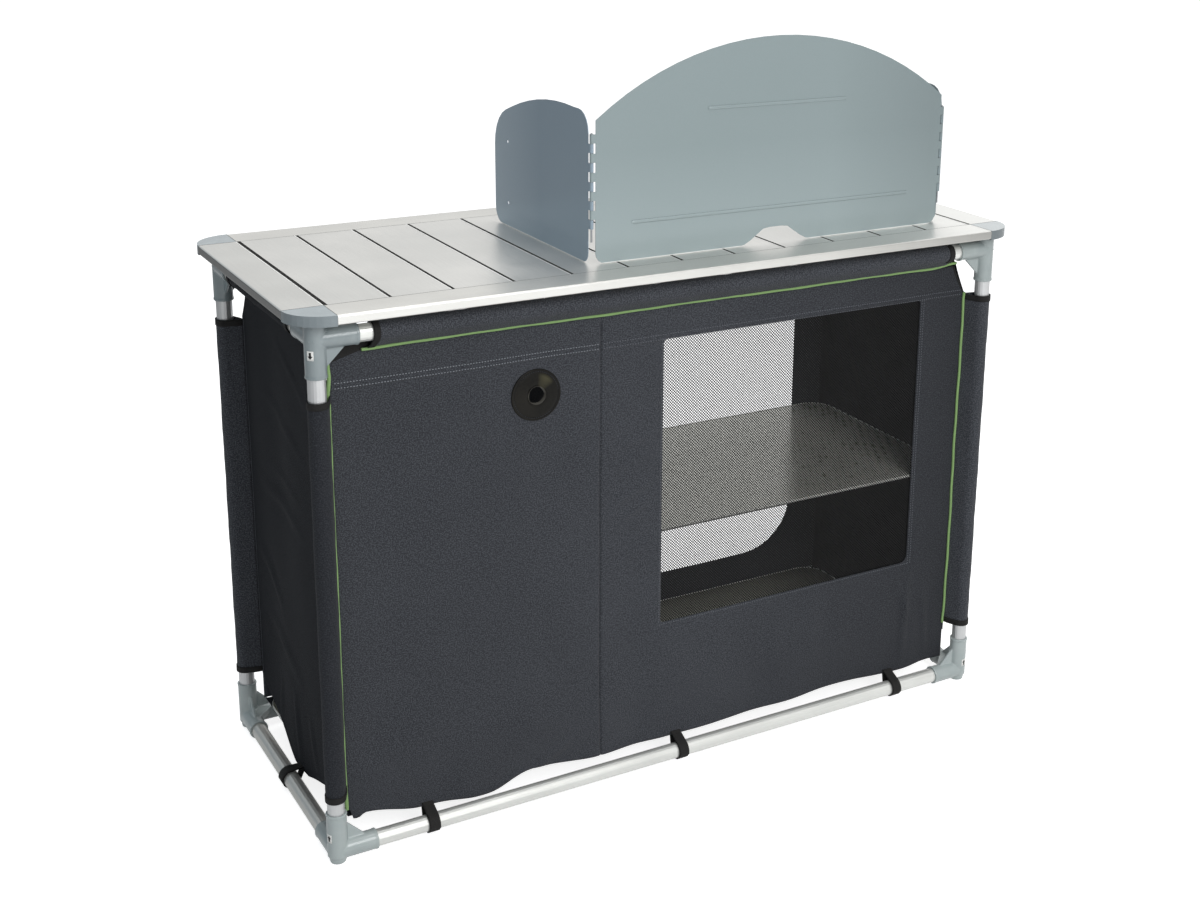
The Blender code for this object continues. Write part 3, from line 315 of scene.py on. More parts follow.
def weave_look(name, dark, light, yarn=0.00062, heather=0.55, specular=0.22, sheen=0.08, shade=0.0):
    """Plain woven polyester: over and under yarns, heathered thread colours, slight dust, and painted shade
    towards the ends of the cut when shade is given.
    """
    look = Look(name, 0.86, specular=specular)
    look.set(Sheen_Weight=sheen, Sheen_Roughness=0.5)
    where = look.cut()
    weft, warp = [look.bands(where, 2 * yarn, axis) for axis in "XY"]
    crossing = look.math("ABSOLUTE", look.math("SUBTRACT", weft, warp))
    slub, slub_across = [look.noise(1.0, 2.0, where=look.cut(scale))
                         for scale in ((1400, 120, 1), (120, 1400, 1))]
    thread = look.plus(look.times(slub, 0.5), look.times(slub_across, 0.5))
    mottle = look.noise(330.0, 2.0, 0.7, where)
    speck = look.noise(560.0, 1.0, 0.6, where)
    tone = look.over(dark, light, thread, 0.42, 0.60, 0.0, heather)
    tone = look.over(tone, dark, mottle, 0.42, 0.62, 0.0, 0.45)
    tone = look.over(tone, dark, crossing, 0.0, 0.5, 0.35, 0.0)
    tone = look.over(tone, light, look.noise(9.0, where=where), 0.35, 0.75, 0.0, 0.12)
    tone = look.over(tone, light, speck, 0.50, 0.62, 0.0, heather)
    tone = look.over(tone, dark, speck, 0.38, 0.50, heather, 0.0)
    across = look.parts(where)["X"]
    # Painted shade: darker towards the right end of the cut, and a little towards its left end.
    tone = look.over(tone, "17181C", across, 0.05, 0.50, 0.0, shade)
    tone = look.over(tone, "17181C", across, -0.10, -0.30, 0.0, shade / 4)
    height = look.plus(look.times(crossing, 0.6), look.times(thread, 0.6))
    pucker = look.bump(look.noise(1.0, where=look.cut((55, 80, 1))), 0.0007, 0.35)
    rough = look.spread(mottle, 0.3, 0.7, 0.80, 0.92)
    return look.finish(tone, rough, look.bump(height, 0.00025, 0.8, pucker))


def ribbed_look(name, dark, light, rib, roughness=0.8):
    """Binding tape or webbing: ribs across the tape and a soft edge wear."""
    look = Look(name, roughness, specular=0.3)
    where = look.cut()
    ribs = look.bands(where, rib, "X")
    fuzz = look.noise(700.0, 2.0, where=where)
    tone = look.over(look.over(dark, light, ribs, 0.1, 0.9), dark, fuzz, 0.45, 0.7, 0.0, 0.4)
    height = look.plus(ribs, look.times(look.bands(where, rib * 0.7, "Y"), 0.4))
    rough = look.spread(fuzz, 0.3, 0.7, roughness - 0.06, roughness + 0.06)
    return look.finish(tone, rough, look.bump(height, 0.0002, 0.7))


def solid_look(name, dark, light, roughness, grain, bump=0.0001, specular=0.4):
    """Rubber, thread, net or board: one tone with a grain."""
    look = Look(name, roughness, specular=specular)
    fine = look.noise(grain)
    drift = look.noise(25.0, 2.0)
    tone = look.over(look.over(dark, light, fine, 0.35, 0.65), dark, drift, 0.4, 0.7, 0.0, 0.3)
    rough = look.plus(look.spread(fine, 0.3, 0.7, roughness - 0.06, roughness + 0.06),
                      look.spread(drift, 0.3, 0.7, -0.03, 0.03))
    return look.finish(tone, rough, look.bump(fine, bump, 0.7))


def rubber_look():
    """Soft dark rubber with a pale line round the lip of its hole, painted shade in its pressed groove and
    painted highlights across its cone.
    """
    look = Look("soft_rubber", 0.44, specular=0.13)
    grain = look.noise(420.0)
    tone = look.over("0D0C0A", "151410", grain, 0.35, 0.65)
    source = look.node("TexCoord").outputs["Object"]
    centre = look.node("VectorMath", [(0, source), (1, tuple(GROMMET))], operation="SUBTRACT").outputs[0]
    parts = look.parts(centre)
    x, z = parts["X"], parts["Z"]
    away = look.math("SQRT", look.plus(look.times(x, x), look.times(z, z)))
    angle = look.math("ARCTAN2", z, x)

    def toward(degrees):
        return look.math("COSINE", look.math("SUBTRACT", angle, math.radians(degrees)))

    # Painted highlights: a bright sweep towards the upper right of the cone and a weaker one towards its
    # lower left.
    sweep = look.times(look.spread(toward(57), 0.88, 1.0), look.spread(away, 0.018, 0.027, 0.30, 0.55))
    tone = look.mix(look.times(sweep, look.spread(away, 0.028, 0.033, 1.0, 0.0)), tone, "56533F")
    tone = look.over(tone, "3A3730", toward(205), 0.3, 1.0, 0.0, 0.14)
    # Painted shade in the pressed groove.
    groove = look.times(look.spread(away, GROMMET_R - 0.0050, GROMMET_R - 0.0042),
                        look.spread(away, GROMMET_R - 0.0034, GROMMET_R - 0.0026, 1.0, 0.0))
    tone = look.mix(look.times(groove, 0.8), tone, "050505")
    tone = look.over(tone, "5C5A55", away, 0.0131, 0.0140, 0.70, 0.0)
    return look.finish(tone, look.spread(grain, 0.3, 0.7, 0.34, 0.46), look.bump(grain, 0.00012, 0.7))


def board_look(name, dark, light, metallic):
    """Glossy pale liner board with a very fine grain."""
    look = Look(name, 0.23, metallic, 0.9)
    grain = look.noise(1600.0, 1.0)
    drift = look.noise(6.0, 2.0, where=look.place())
    tone = look.over(dark, light, grain, 0.3, 0.7, 0.3, 0.7)
    tone = look.over(tone, dark, drift, 0.4, 0.7, 0.0, 0.2)
    return look.finish(tone, look.spread(drift, 0.3, 0.7, 0.21, 0.24), look.bump(grain, 0.000004, 0.3))


# Copies of one tube aluminium, each drawn along its own axis: the lengthwise rails are lighter as painted
# light, and the crosswise rails and legs are darker as painted shade.
TUBE_X = metal_look("tube_lengthwise", "X", "E9EAE6", "DCDDD9", 0.36)
TUBE_Y = metal_look("tube_crosswise", "Y", "D0CFCA", "C0BFBA", 0.36)
TUBE_Z = metal_look("tube_upright", "Z", "CFD0D0", "C0C1C2", 0.36)
# Tabletop and slats carry painted light. Sideways faces are darkened as painted shade, and the slats are
# almost black there so that their gaps read dark. Upper faces are paler towards the right end as a painted
# highlight. The front rails' upright faces are darker towards the right end as painted shade, and their
# front faces are paler towards the left end as a painted highlight.
TOP_X = metal_look("top_lengthwise", "X", "D4D3CE", "C8C7C2", 0.34, 0.75, 0.0, 0.60, 0.38, 0.28)
TOP_Y = metal_look("top_crosswise", "Y", "CDCDC9", "C2C2BE", 0.34, 0.75, 0.72, 0.60)
SLAT = metal_look("slat_metal", "Y", "D4D3CF", "C8C8C4", 0.34, 0.75, 0.94, 0.60)
# Copies of one moulded plastic. The feet are lighter as painted light, and the left heads are darker as
# painted shade. The table corners have painted shade on their sides and painted light towards the right end.
PLASTIC = plastic_look("moulded_plastic", "A3ACAB", "97A1A1")
PLASTIC_PAINTED_LIGHT = plastic_look("foot_plastic_painted_light", "B0B9B8", "A4AEAE")
PLASTIC_PAINTED_SHADE = plastic_look("plastic_painted_shade", "8E989A", "838D90")
CORNER = plastic_look("corner_plastic_painted_light_and_shade", "959FA3", "8A9498", 0.22, 0.25, 0.30)
# Painted shadow over the slat gaps and painted highlight along the slat edges; the joint lines are thin dark
# joints.
GAP_SHADOW = solid_look("joint_shadow", "262625", "333331", 0.9, 300.0, specular=0.05)
JOINT = solid_look("joint_line", "7C7D7A", "8A8B88", 0.9, 300.0, specular=0.05)
RIM_HIGHLIGHT = metal_look("slat_rim_highlight", "Y", "FAFAF7", "F0F0EC", 0.30, 0.2)
# Copies of one paint. The main sheet has painted shade towards its right end and painted light at its foot.
# The left wing is lighter and bluer, with painted light towards its rear. The right wing is darker as
# painted shade.
SCREEN = screen_look("screen_coating", "8A9899", "8E9B9D", 0.12, right=0.24, foot=0.30)
WING = screen_look("near_wing_paint_painted_light", "92A3B0", "96A7B4", 0.25, rear=0.34, foot=0.0)
STEEL = steel_look()
FAR_WING = screen_look("far_wing_paint_painted_shade", "7C898D", "808D91", 0.10)
# Copies of one charcoal weave. The front panel is darker, with painted shade towards its right end. The
# front-left sleeve, the walls and the inside are darker as painted shade.
FRONT_CLOTH = weave_look("charcoal_weave", "292B30", "5E6167")
PANEL_CLOTH = weave_look("panel_weave_painted_shade", "282A2F", "5A5D63", shade=0.52)
SLEEVE_CLOTH_PAINTED_SHADE = weave_look("sleeve_weave_painted_shade", "202226", "404248", heather=0.45, specular=0.15, sheen=0.04)
SIDE_CLOTH = weave_look("weave_painted_shade", "1B1C1F", "33353A", heather=0.45, specular=0.10, sheen=0.02)
TAPE = ribbed_look("black_binding", "0F0E0E", "242322", 0.0011)
WEBBING = ribbed_look("black_webbing", "111010", "2B2A29", 0.0016)
PIPING = ribbed_look("green_piping", "7D9F62", "97B97B", 0.0009, 0.7)
THREAD = solid_look("grey_thread", "7C8188", "A3A8AE", 0.7, 2500.0)
DIM_THREAD = solid_look("dim_thread", "575A61", "70747B", 0.7, 2500.0)
DARK_THREAD = solid_look("black_thread", "15161A", "2C2E33", 0.7, 2500.0)
NET = solid_look("mesh_strand", "0E0E0E", "1B1B1B", 0.6, 900.0, specular=0.15)
RUBBER = rubber_look()
BOARD = board_look("liner_board", "DEDED4", "E8E8E0", 0.28)
# The floor boards take a darker copy of the liner board: painted shade.
FLOOR_BOARD = board_look("floor_liner_board_painted_shade", "8C8C80", "98988C", 0.30)
BOARD_EDGE = metal_look("board_edge", "X", "FCFCF6", "F6F6F0", 0.35, 0.0)
PAPER = solid_look("white_sticker", "E6E6E2", "F2F2EF", 0.6, 600.0, 0.00003)
INK = solid_look("black_ink", "0E0E0E", "1A1A1A", 0.6, 600.0, 0.00003)


# Mesh helpers

def added(name, data):
    obj = bpy.data.objects.new(name, data)
    bpy.context.scene.collection.objects.link(obj)
    return obj


def modify(obj, name, kind, **settings):
    step = obj.modifiers.new(name, kind)
    for setting, value in settings.items():
        setattr(step, setting, value)
    return obj


def piece(name, mesh, material, body="frame", replaces=(), smooth=True, sharp=0.7, thick=None):
    """A shown object with its material that rides on a body."""
    mesh.materials.clear()
    mesh.materials.append(material)
    if smooth:
        mesh.shade_smooth()
        mesh.set_sharp_from_angle(angle=sharp)
    obj = added(name, mesh)
    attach(obj, body)
    if replaces:
        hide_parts(*replaces)
    return modify(obj, "thickness", "SOLIDIFY", thickness=thick, offset=0.0) if thick else obj


def mesh_from(points, faces):
    mesh = bpy.data.meshes.new("shape")
    mesh.from_pydata([tuple(p) for p in np.asarray(points, float).tolist()], [], [tuple(f) for f in faces])
    return mesh


def written(bm, mesh=None):
    """The mesh that a bmesh was written to; the bmesh is freed."""
    mesh = mesh or bpy.data.meshes.new("shape")
    bm.to_mesh(mesh)
    bm.free()
    return mesh


def opened(*meshes):
    bm = bmesh.new()
    for mesh in meshes:
        bm.from_mesh(mesh)
    return bm


def merged(meshes):
    """One mesh of several, keeping their UV maps."""
    return written(opened(*meshes))


def outward(mesh):
    """The mesh with all its faces turned outwards."""
    bm = opened(mesh)
    bmesh.ops.recalc_face_normals(bm, faces=bm.faces)
    return written(bm, mesh)


def lines_through(marks, step):
    """Grid lines through every mark, with near-equal lines between them."""
    result = [marks[0]]
    for low, high in zip(marks, marks[1:]):
        count = max(1, round((high - low) / step))
        result += [low + (high - low) * at / count for at in range(1, count + 1)]
    return np.array(result)


def set_cut(mesh, flat):
    """The flat cut's coordinates, given for each point, as a UV map."""
    loops = np.empty(len(mesh.loops), np.int32)
    mesh.loops.foreach_get("vertex_index", loops)
    mesh.uv_layers.new(name="cut").uv.foreach_set("vector", flat[loops].astype(np.float32).ravel())
    return mesh


def grid_mesh(us, vs, place, keep=None):
    """Mesh of place(u, v) over a grid, with the flat cut's coordinates in its UV map."""
    grid_u, grid_v = np.meshgrid(us, vs)
    points = np.stack(place(grid_u, grid_v), axis=-1).reshape(-1, 3)
    index = np.arange(len(points)).reshape(len(vs), len(us))
    cells = np.stack([index[:-1, :-1], index[:-1, 1:], index[1:, 1:], index[1:, :-1]], axis=-1)
    if keep is not None:
        cells = cells[keep(*np.meshgrid((us[:-1] + us[1:]) / 2, (vs[:-1] + vs[1:]) / 2))]
    used, cells = np.unique(cells.reshape(-1), return_inverse=True)
    mesh = mesh_from(points[used], cells.reshape(-1, 4).tolist())
    return set_cut(mesh, np.stack([grid_u, grid_v], axis=-1).reshape(-1, 2)[used])


def run_along(path):
    """Length along a path at each of its points."""
    return np.concatenate([[0], np.cumsum(np.linalg.norm(np.diff(path, axis=0), axis=1))])


def at_run(run, path, where):
    """The two coordinates of a flat path at some lengths along it."""
    return [np.interp(where, run, path[:, axis]) for axis in (0, 1)]


def heading(path):
    ahead = np.gradient(path, axis=0)
    return ahead / np.linalg.norm(ahead, axis=1)[:, None]


def evaluated(obj):
    """The object's mesh with its modifiers applied; the object itself is removed."""
    bpy.context.view_layer.update()
    graph = bpy.context.evaluated_depsgraph_get()
    mesh = bpy.data.meshes.new_from_object(obj.evaluated_get(graph), depsgraph=graph)
    bpy.data.objects.remove(obj, do_unlink=True)
    return mesh


def fade(value, low, high):
    """0 below low, 1 above high, smooth between."""
    share = np.clip((np.asarray(value, float) - low) / (high - low), 0, 1)
    return share * share * (3 - 2 * share)


def hem(points, u, half, straight=False):
    """Height of a hem at u on a wall of the given half length: smooth, or straight between its points."""
    places, heights = np.array(points).T
    places = places * half
    at = np.clip(np.searchsorted(places, u) - 1, 0, len(places) - 2)
    share = np.clip((u - places[at]) / (places[at + 1] - places[at]), 0, 1)
    if not straight:
        share = (1 - np.cos(np.pi * share)) / 2
    return heights[at] + (heights[at + 1] - heights[at]) * share


def hemmed(v, low, zone, calm=0.0):
    """Height of a grid line: those below the zone follow the hem."""
    return np.where(v < zone - calm, low + (zone - low) * v / zone, v)


def creased(total, u, v, creases):
    """Adds ridges with a dip on both sides, each (start, end, width, depth, bend), fading at their ends."""
    for start, end, width, depth, bend in creases:
        du, dv = end[0] - start[0], end[1] - start[1]
        length = math.hypot(du, dv)
        along = ((u - start[0]) * du + (v - start[1]) * dv) / length ** 2
        inside = np.sin(np.pi * np.clip(along, 0, 1))
        near = ((((u - start[0]) * dv - (v - start[1]) * du) / length - bend * inside) / width) ** 2
        total = total + depth * inside ** 0.8 * (1 - near) * np.exp(-near)
    return total


def ripple(u, v, terms):
    """Sum of slow ripples, each (period in u, period in v, depth, phase)."""
    total = np.zeros(np.broadcast(u, v).shape)
    for period_u, period_v, depth, phase in terms:
        total = total + depth * np.sin(2 * np.pi * (u / period_u + v / period_v) + phase)
    return total


def filleted(corners, radius, count=12):
    """Outline through corners, each rounded by the radius."""
    result = []
    for at, corner in enumerate(corners):
        here = Vector(corner)
        before = (Vector(corners[at - 1]) - here).normalized()
        after = (Vector(corners[(at + 1) % len(corners)]) - here).normalized()
        half = before.angle(after) / 2
        centre = here + (before + after).normalized() * radius / math.sin(half)
        first = here + before * radius / math.tan(half) - centre
        last = here + after * radius / math.tan(half) - centre
        turn = math.atan2(first.x * last.y - first.y * last.x, first.dot(last))
        result += [tuple(centre + Matrix.Rotation(turn * step / count, 2) @ first)
                   for step in range(count + 1)]
    return result


def revolved(profile, matrix, steps):
    """A closed profile of (radius, height) points turned round the matrix's Z axis."""
    radii, heights = np.array(profile, float).T
    angles = np.linspace(0, 2 * np.pi, steps, endpoint=False)
    points = np.stack([np.outer(np.cos(angles), radii), np.outer(np.sin(angles), radii),
                       np.tile(heights, (steps, 1))], axis=-1)
    count = len(profile)
    faces = [(turn * count + at, following * count + at, following * count + onward, turn * count + onward)
             for turn, following in ((turn, (turn + 1) % steps) for turn in range(steps))
             for at, onward in ((at, (at + 1) % count) for at in range(count))]
    mesh = mesh_from(points.reshape(-1, 3), faces)
    mesh.transform(matrix)
    return mesh


def bar(radius, start, end, segments):
    """A solid round bar between two points."""
    start, end = Vector(start), Vector(end)
    bm = bmesh.new()
    turn = (end - start).to_track_quat("Z", "Y").to_matrix().to_4x4()
    bmesh.ops.create_cone(bm, cap_ends=True, segments=segments, radius1=radius, radius2=radius,
                          depth=(end - start).length)
    bmesh.ops.transform(bm, matrix=Matrix.Translation((start + end) / 2) @ turn, verts=bm.verts)
    return written(bm)


def prism(outline, start, end, matrix):
    """A flat outline extruded along the matrix's Z axis."""
    count = len(outline)
    points = [(x, y, z) for z in (start, end) for x, y in outline]
    faces = [tuple(range(count))[::-1], tuple(range(count, 2 * count))]
    faces += [(at, (at + 1) % count, count + (at + 1) % count, count + at) for at in range(count)]
    mesh = mesh_from(points, faces)
    mesh.transform(matrix)
    return mesh


def swept(path, radius, sides=10):
    """A round cord along a path, with closed ends and the flat cut's coordinates."""
    path = np.asarray(path, float)
    ahead = heading(path)
    side = np.cross(ahead, (0.13, 1.0, 0.07))
    side /= np.linalg.norm(side, axis=1)[:, None]
    angles = np.linspace(0, 2 * np.pi, sides, endpoint=False)
    rings = (path[:, None] + radius * (np.cos(angles)[None, :, None] * side[:, None]
                                       + np.sin(angles)[None, :, None] * np.cross(ahead, side)[:, None]))
    count = len(path)
    faces = [(low + at, low + (at + 1) % sides, low + sides + (at + 1) % sides, low + sides + at)
             for low in range(0, (count - 1) * sides, sides) for at in range(sides)]
    faces += [tuple(range(sides))[::-1], tuple(range((count - 1) * sides, count * sides))]
    flat = np.stack([np.repeat(run_along(path), sides), np.tile(angles * radius, count)], axis=-1)
    return set_cut(mesh_from(rings.reshape(-1, 3), faces), flat)


def stitches(name, place, rows, material=THREAD, pitch=0.0042, length=0.0023, above=CLOTH / 2):
    """Small thread loops lying on a surface; place(u, v, lift) gives a point above it."""
    width = 0.0008
    points = []
    ring = ((-0.5, 0.0), (-0.32, 0.5), (0.32, 0.5), (0.5, 0.0), (0.32, -0.5), (-0.32, -0.5))
    for (u0, v0), (u1, v1) in rows:
        run = math.hypot(u1 - u0, v1 - v0)
        count = max(1, int(run / pitch))
        du, dv = (u1 - u0) / run, (v1 - v0) / run
        for at in range(count):
            middle_at = (at + 0.5) / count * run
            for lift in (above - 0.0002, above + 0.00035):
                for a, b in ring:
                    points.append((u0 + du * (middle_at + a * length) - dv * b * width,
                                   v0 + dv * (middle_at + a * length) + du * b * width,
                                   lift if abs(a) < 0.4 else lift - 0.0002))
    faces = []
    for first in range(0, len(points), 12):
        faces += [(first + at, first + (at + 1) % 6, first + 6 + (at + 1) % 6, first + 6 + at)
                  for at in range(6)]
        faces += [tuple(first + 5 - k for k in range(6)), tuple(first + 6 + k for k in range(6))]
    placed = np.stack(place(*np.array(points).T), axis=-1)
    return piece(name, outward(mesh_from(placed, faces)), material)


# Camera, light and floor

def build_camera():
    yaw, pitch, roll = (math.radians(angle) for angle in (31.117, 15.736, 1.100))
    ahead = Vector((math.sin(yaw) * math.cos(pitch), math.cos(yaw) * math.cos(pitch), -math.sin(pitch)))
    right = Vector((math.cos(yaw), -math.sin(yaw), 0))
    up = right.cross(ahead)
    data = bpy.data.cameras.new("camera")
    data.lens = 50.08
    data.sensor_width = 36
    data.shift_x = -0.0820
    data.shift_y = -0.1146
    camera = added("camera", data)
    turn = Matrix((right * math.cos(roll) + up * math.sin(roll),
                   up * math.cos(roll) - right * math.sin(roll), -ahead)).transposed().to_4x4()
    place = (-1.18698, -2.21085, 1.38099)
    camera.matrix_world = Matrix.Translation(place) @ turn
    bpy.context.scene.camera = camera
    bpy.context.scene.view_settings.view_transform = "Standard"


def build_light():
    for name, place, target, width, power in (("key", (-0.1, -3.1, 2.3), (0, 0, 0.5), 1.8, 64),
                                              ("top", (0.4, 0.3, 3.2), (0, 0, 0.6), 2.4, 45)):
        data = bpy.data.lights.new(name, "AREA")
        data.shape = "SQUARE"
        data.size = width
        data.energy = power
        turn = (Vector(target) - Vector(place)).to_track_quat("-Z", "Y").to_matrix().to_4x4()
        added(name, data).matrix_world = Matrix.Translation(place) @ turn
    world = bpy.data.worlds.new("studio")
    bpy.context.scene.world = world
    sky = Nodes(world)
    ray = sky.node("LightPath").outputs
    around = sky.node("TexCoord").outputs["Generated"]

    def graded(toward, low, high, start=-0.5, end=0.7):
        """Strength that rises from low to high towards one heading."""
        return sky.spread(sky.along(around, toward), start, end, low, high)

    seen = sky.math("MAXIMUM", ray["Is Camera Ray"], ray["Is Transmission Ray"])
    mirrored = sky.times(ray["Is Glossy Ray"], graded((0.80, 0.15, 0.55), 0.35, 1.0))
    cool = sky.times(sky.math("SUBTRACT", 1.0, seen), graded((-0.80, 0.20, -0.10), 0.0, 1.0, 0.0, 0.8))
    backdrop = sky.tree.nodes["Background"].inputs
    sky.give(backdrop["Color"], sky.mix(cool, (1, 1, 1, 1), (0.70, 0.87, 1.0, 1)))
    sky.give(backdrop["Strength"], sky.math("MAXIMUM", sky.math("MAXIMUM", seen, mirrored),
                                            graded((0.45, -0.55, 0.70), 0.22, 0.50)))


def build_floor():
    """White sweep: what the camera sees is lifted to white, and the shadow stays."""
    mesh = mesh_from([(-40, -40, 0), (40, -40, 0), (40, 40, 0), (-40, 40, 0)], [(0, 1, 2, 3)])
    look = Look("white_sweep", 1.0, specular=0.0)
    ray = look.node("LightPath").outputs
    place = look.node("TexCoord").outputs["Object"]
    level = look.times(look.spread(look.along(place, (0.75, -0.65, 0)), -2.8, 2.3),
                       look.spread(look.parts(place)["X"], 1.0, 3.2, 1.0, 0.72))
    seen = look.math("MAXIMUM", look.math("MAXIMUM", ray["Is Camera Ray"], ray["Is Transmission Ray"]),
                     look.times(ray["Is Glossy Ray"], level))
    look.set(Base_Color=(0.70, 0.70, 0.70, 1), Emission_Color=(1, 1, 1, 1),
             Emission_Strength=look.times(seen, 0.82))
    mesh.materials.append(look.material)
    added("studio_floor", mesh)


# Metal, plastic and board from the frame

DRESS = (
    ("leg_", TUBE_Z),
    (("bottom_rail_left", "bottom_rail_right", "top_rail_left", "top_rail_right"), TUBE_Y),
    (("bottom_rail_", "top_rail_"), TUBE_X),
    ("slat_", SLAT),
    (("table_rail_left", "table_rail_right"), TOP_Y),
    ("table_rail_", TOP_X),
    ("table_corner_", CORNER),
    (("bottom_connector_", "top_connector_"), PLASTIC),
    ("windscreen_wing_left", WING),
    ("windscreen_wing_right", FAR_WING),
    ("windscreen_main", SCREEN),
    ("hinge_pin_", STEEL),
    ("shelf_board", BOARD),
    ("floor_board_", FLOOR_BOARD),
    (("front_panel", "rear_panel", "door_roll_"), FRONT_CLOTH),
    ("", SIDE_CLOTH),
)


def dress_frame():
    for name, obj in NODES.items():
        obj.data.materials.clear()
        obj.data.materials.append(next(material for start, material in DRESS if name.startswith(start)))
        if name.startswith("table_"):
            modify(obj, "edge", "BEVEL", width=0.0006, segments=2, limit_method="ANGLE", angle_limit=0.7)


def level_place(height):
    """Place function of a flat sheet at a height."""
    return lambda u, v: (u, v, np.full(u.shape, height))


def strip(x0, y0, x1, y1, rise):
    """A thin flat strip lying on the tabletop."""
    return grid_mesh(lines_through([x0, x1], 0.05), lines_through([y0, y1], 0.05), level_place(TOP_Z + rise))


def build_joints():
    """Painted shadow strips over the gaps between the slats, painted highlight strips along the slats'
    rounded edges, and fine joint lines round the top's frame.
    """
    slats = sorted(name for name in NODES if name.startswith("slat_"))
    ends = [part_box("table_rail_left")[1].x] + [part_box(name)[1].x for name in slats]
    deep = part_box("slat_01")[1].y
    first_gap, gap, rim = 0.0056, 0.0043, 0.0016
    starts = [end - 0.0003 for end in ends]
    # Dark strips laid over the gaps: painted shadow.
    gaps = [strip(start, -deep, start + (gap if at else first_gap), deep, 0.00015)
            for at, start in enumerate(starts)]
    # Near-white strips along each slat edge: painted highlight.
    rims = [strip(start - rim, -deep, start, deep, 0.00012) for start in starts]
    inner = -ends[0]
    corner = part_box("table_corner_front_left")[0]
    far_x, far_y = -corner.x - 0.0012, -corner.y - 0.0012
    half = 0.0005
    lines = []
    for side in (-1, 1):
        y = side * (deep + 0.0001)
        lines.append(strip(-inner, y - half, inner, y + half, 0.00008))
        for end in (-1, 1):
            x = end * inner
            lines.append(strip(x - half, min(y, side * far_y), x + half, max(y, side * far_y), 0.00010))
            lines.append(strip(min(x, end * far_x), y - half, max(x, end * far_x), y + half, 0.00010))
    for name, meshes, material in (("slat_gap_shadows", gaps, GAP_SHADOW), ("slat_rim_highlights", rims, RIM_HIGHLIGHT),
                                   ("frame_joints", lines, JOINT)):
        piece(name, merged(meshes), material, body="tabletop")


def build_beads():
    """Rounded crests on the windscreen's two stiffening beads."""
    low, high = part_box("windscreen_main")
    half = 0.0031
    for name, length, height in (("upper", 0.247, 0.212), ("lower", 0.497, 0.056)):
        def place(u, v):
            across = np.sqrt(np.clip(1 - (v / half) ** 2, 0, 1))
            ends = np.sqrt(np.clip((length / 2 + 0.0003 - np.abs(u)) / 0.004, 0, 1))
            return ((low.x + high.x) / 2 + u, low.y + 0.0012 - 0.0019 * across * ends,
                    TOP_Z + height + v * (0.4 + 0.6 * ends))

        us = lines_through([-length / 2, length / 2], 0.004)
        mesh = grid_mesh(us, np.linspace(-half, half, 13), place)
        piece(f"screen_bead_{name}", mesh, SCREEN, body="windscreen", sharp=3.0)


# Front panel

FRONT_CREASES = (
    ((-0.128, 0.529), (-0.030, 0.549), 0.0085, 0.0019, 0.002),
    ((-0.122, 0.494), (-0.030, 0.516), 0.0080, 0.0017, -0.002),
    ((-0.118, 0.440), (-0.032, 0.480), 0.0090, 0.0021, 0.003),
    ((-0.124, 0.392), (-0.034, 0.452), 0.0085, 0.0018, -0.002),
    ((-0.110, 0.418), (-0.034, 0.438), 0.0060, 0.0012, 0.001),
    ((-0.122, 0.340), (-0.036, 0.382), 0.0100, 0.0013, 0.003),
    ((-0.118, 0.290), (-0.036, 0.312), 0.0120, 0.0010, 0.002),
    ((-0.400, 0.505), (-0.262, 0.570), 0.0150, 0.0012, 0.004),
    ((-0.330, 0.425), (-0.285, 0.362), 0.0110, 0.0009, 0.002),
    ((-0.215, 0.176), (-0.134, 0.208), 0.0080, 0.0017, 0.002),
    ((-0.245, 0.050), (-0.180, 0.080), 0.0100, 0.0034, 0.002),
    ((-0.470, 0.300), (-0.330, 0.240), 0.0220, 0.0014, 0.006),
    ((-0.500, 0.130), (-0.380, 0.170), 0.0180, 0.0018, 0.004),
    ((0.449, 0.226), (0.441, 0.045), 0.0085, 0.0030, 0.003),
    ((0.474, 0.190), (0.494, 0.040), 0.0090, 0.0026, -0.002),
    ((0.412, 0.222), (0.462, 0.118), 0.0090, 0.0018, 0.002),
    ((0.502, 0.170), (0.516, 0.045), 0.0075, 0.0018, 0.001),
    ((0.444, 0.680), (0.525, 0.628), 0.0070, 0.0016, 0.002),
    ((0.450, 0.655), (0.510, 0.620), 0.0070, 0.0013, -0.002),
    ((0.452, 0.620), (0.500, 0.560), 0.0090, 0.0008, 0.002),
    ((0.250, 0.228), (0.262, 0.050), 0.0220, 0.0012, 0.003),
    ((0.080, 0.226), (0.060, 0.050), 0.0260, 0.0012, -0.004),
    ((0.180, 0.200), (0.200, 0.045), 0.0150, 0.0009, 0.002),
)
WINDOW_CORNER_R = 0.005
WINDOW_LOW_RIGHT_R = 0.013
WINDOW_CORNERS = ((WINDOW_LEFT, WINDOW_LOW, 1, 1, WINDOW_CORNER_R),
                  (WINDOW_RIGHT, WINDOW_LOW, -1, 1, WINDOW_LOW_RIGHT_R),
                  (WINDOW_LEFT, WINDOW_HIGH, 1, -1, WINDOW_CORNER_R),
                  (WINDOW_RIGHT, WINDOW_HIGH, -1, -1, WINDOW_CORNER_R))


def away_from_straps(x):
    return fade(np.minimum(np.abs(np.abs(x) - STRAP_X), np.abs(x)), 0, 0.07)


def turned_hem(z, low, thick):
    """Extra thickness of a hem that is turned in."""
    return thick * (1 - fade(z - low, 0.0088, 0.0100))


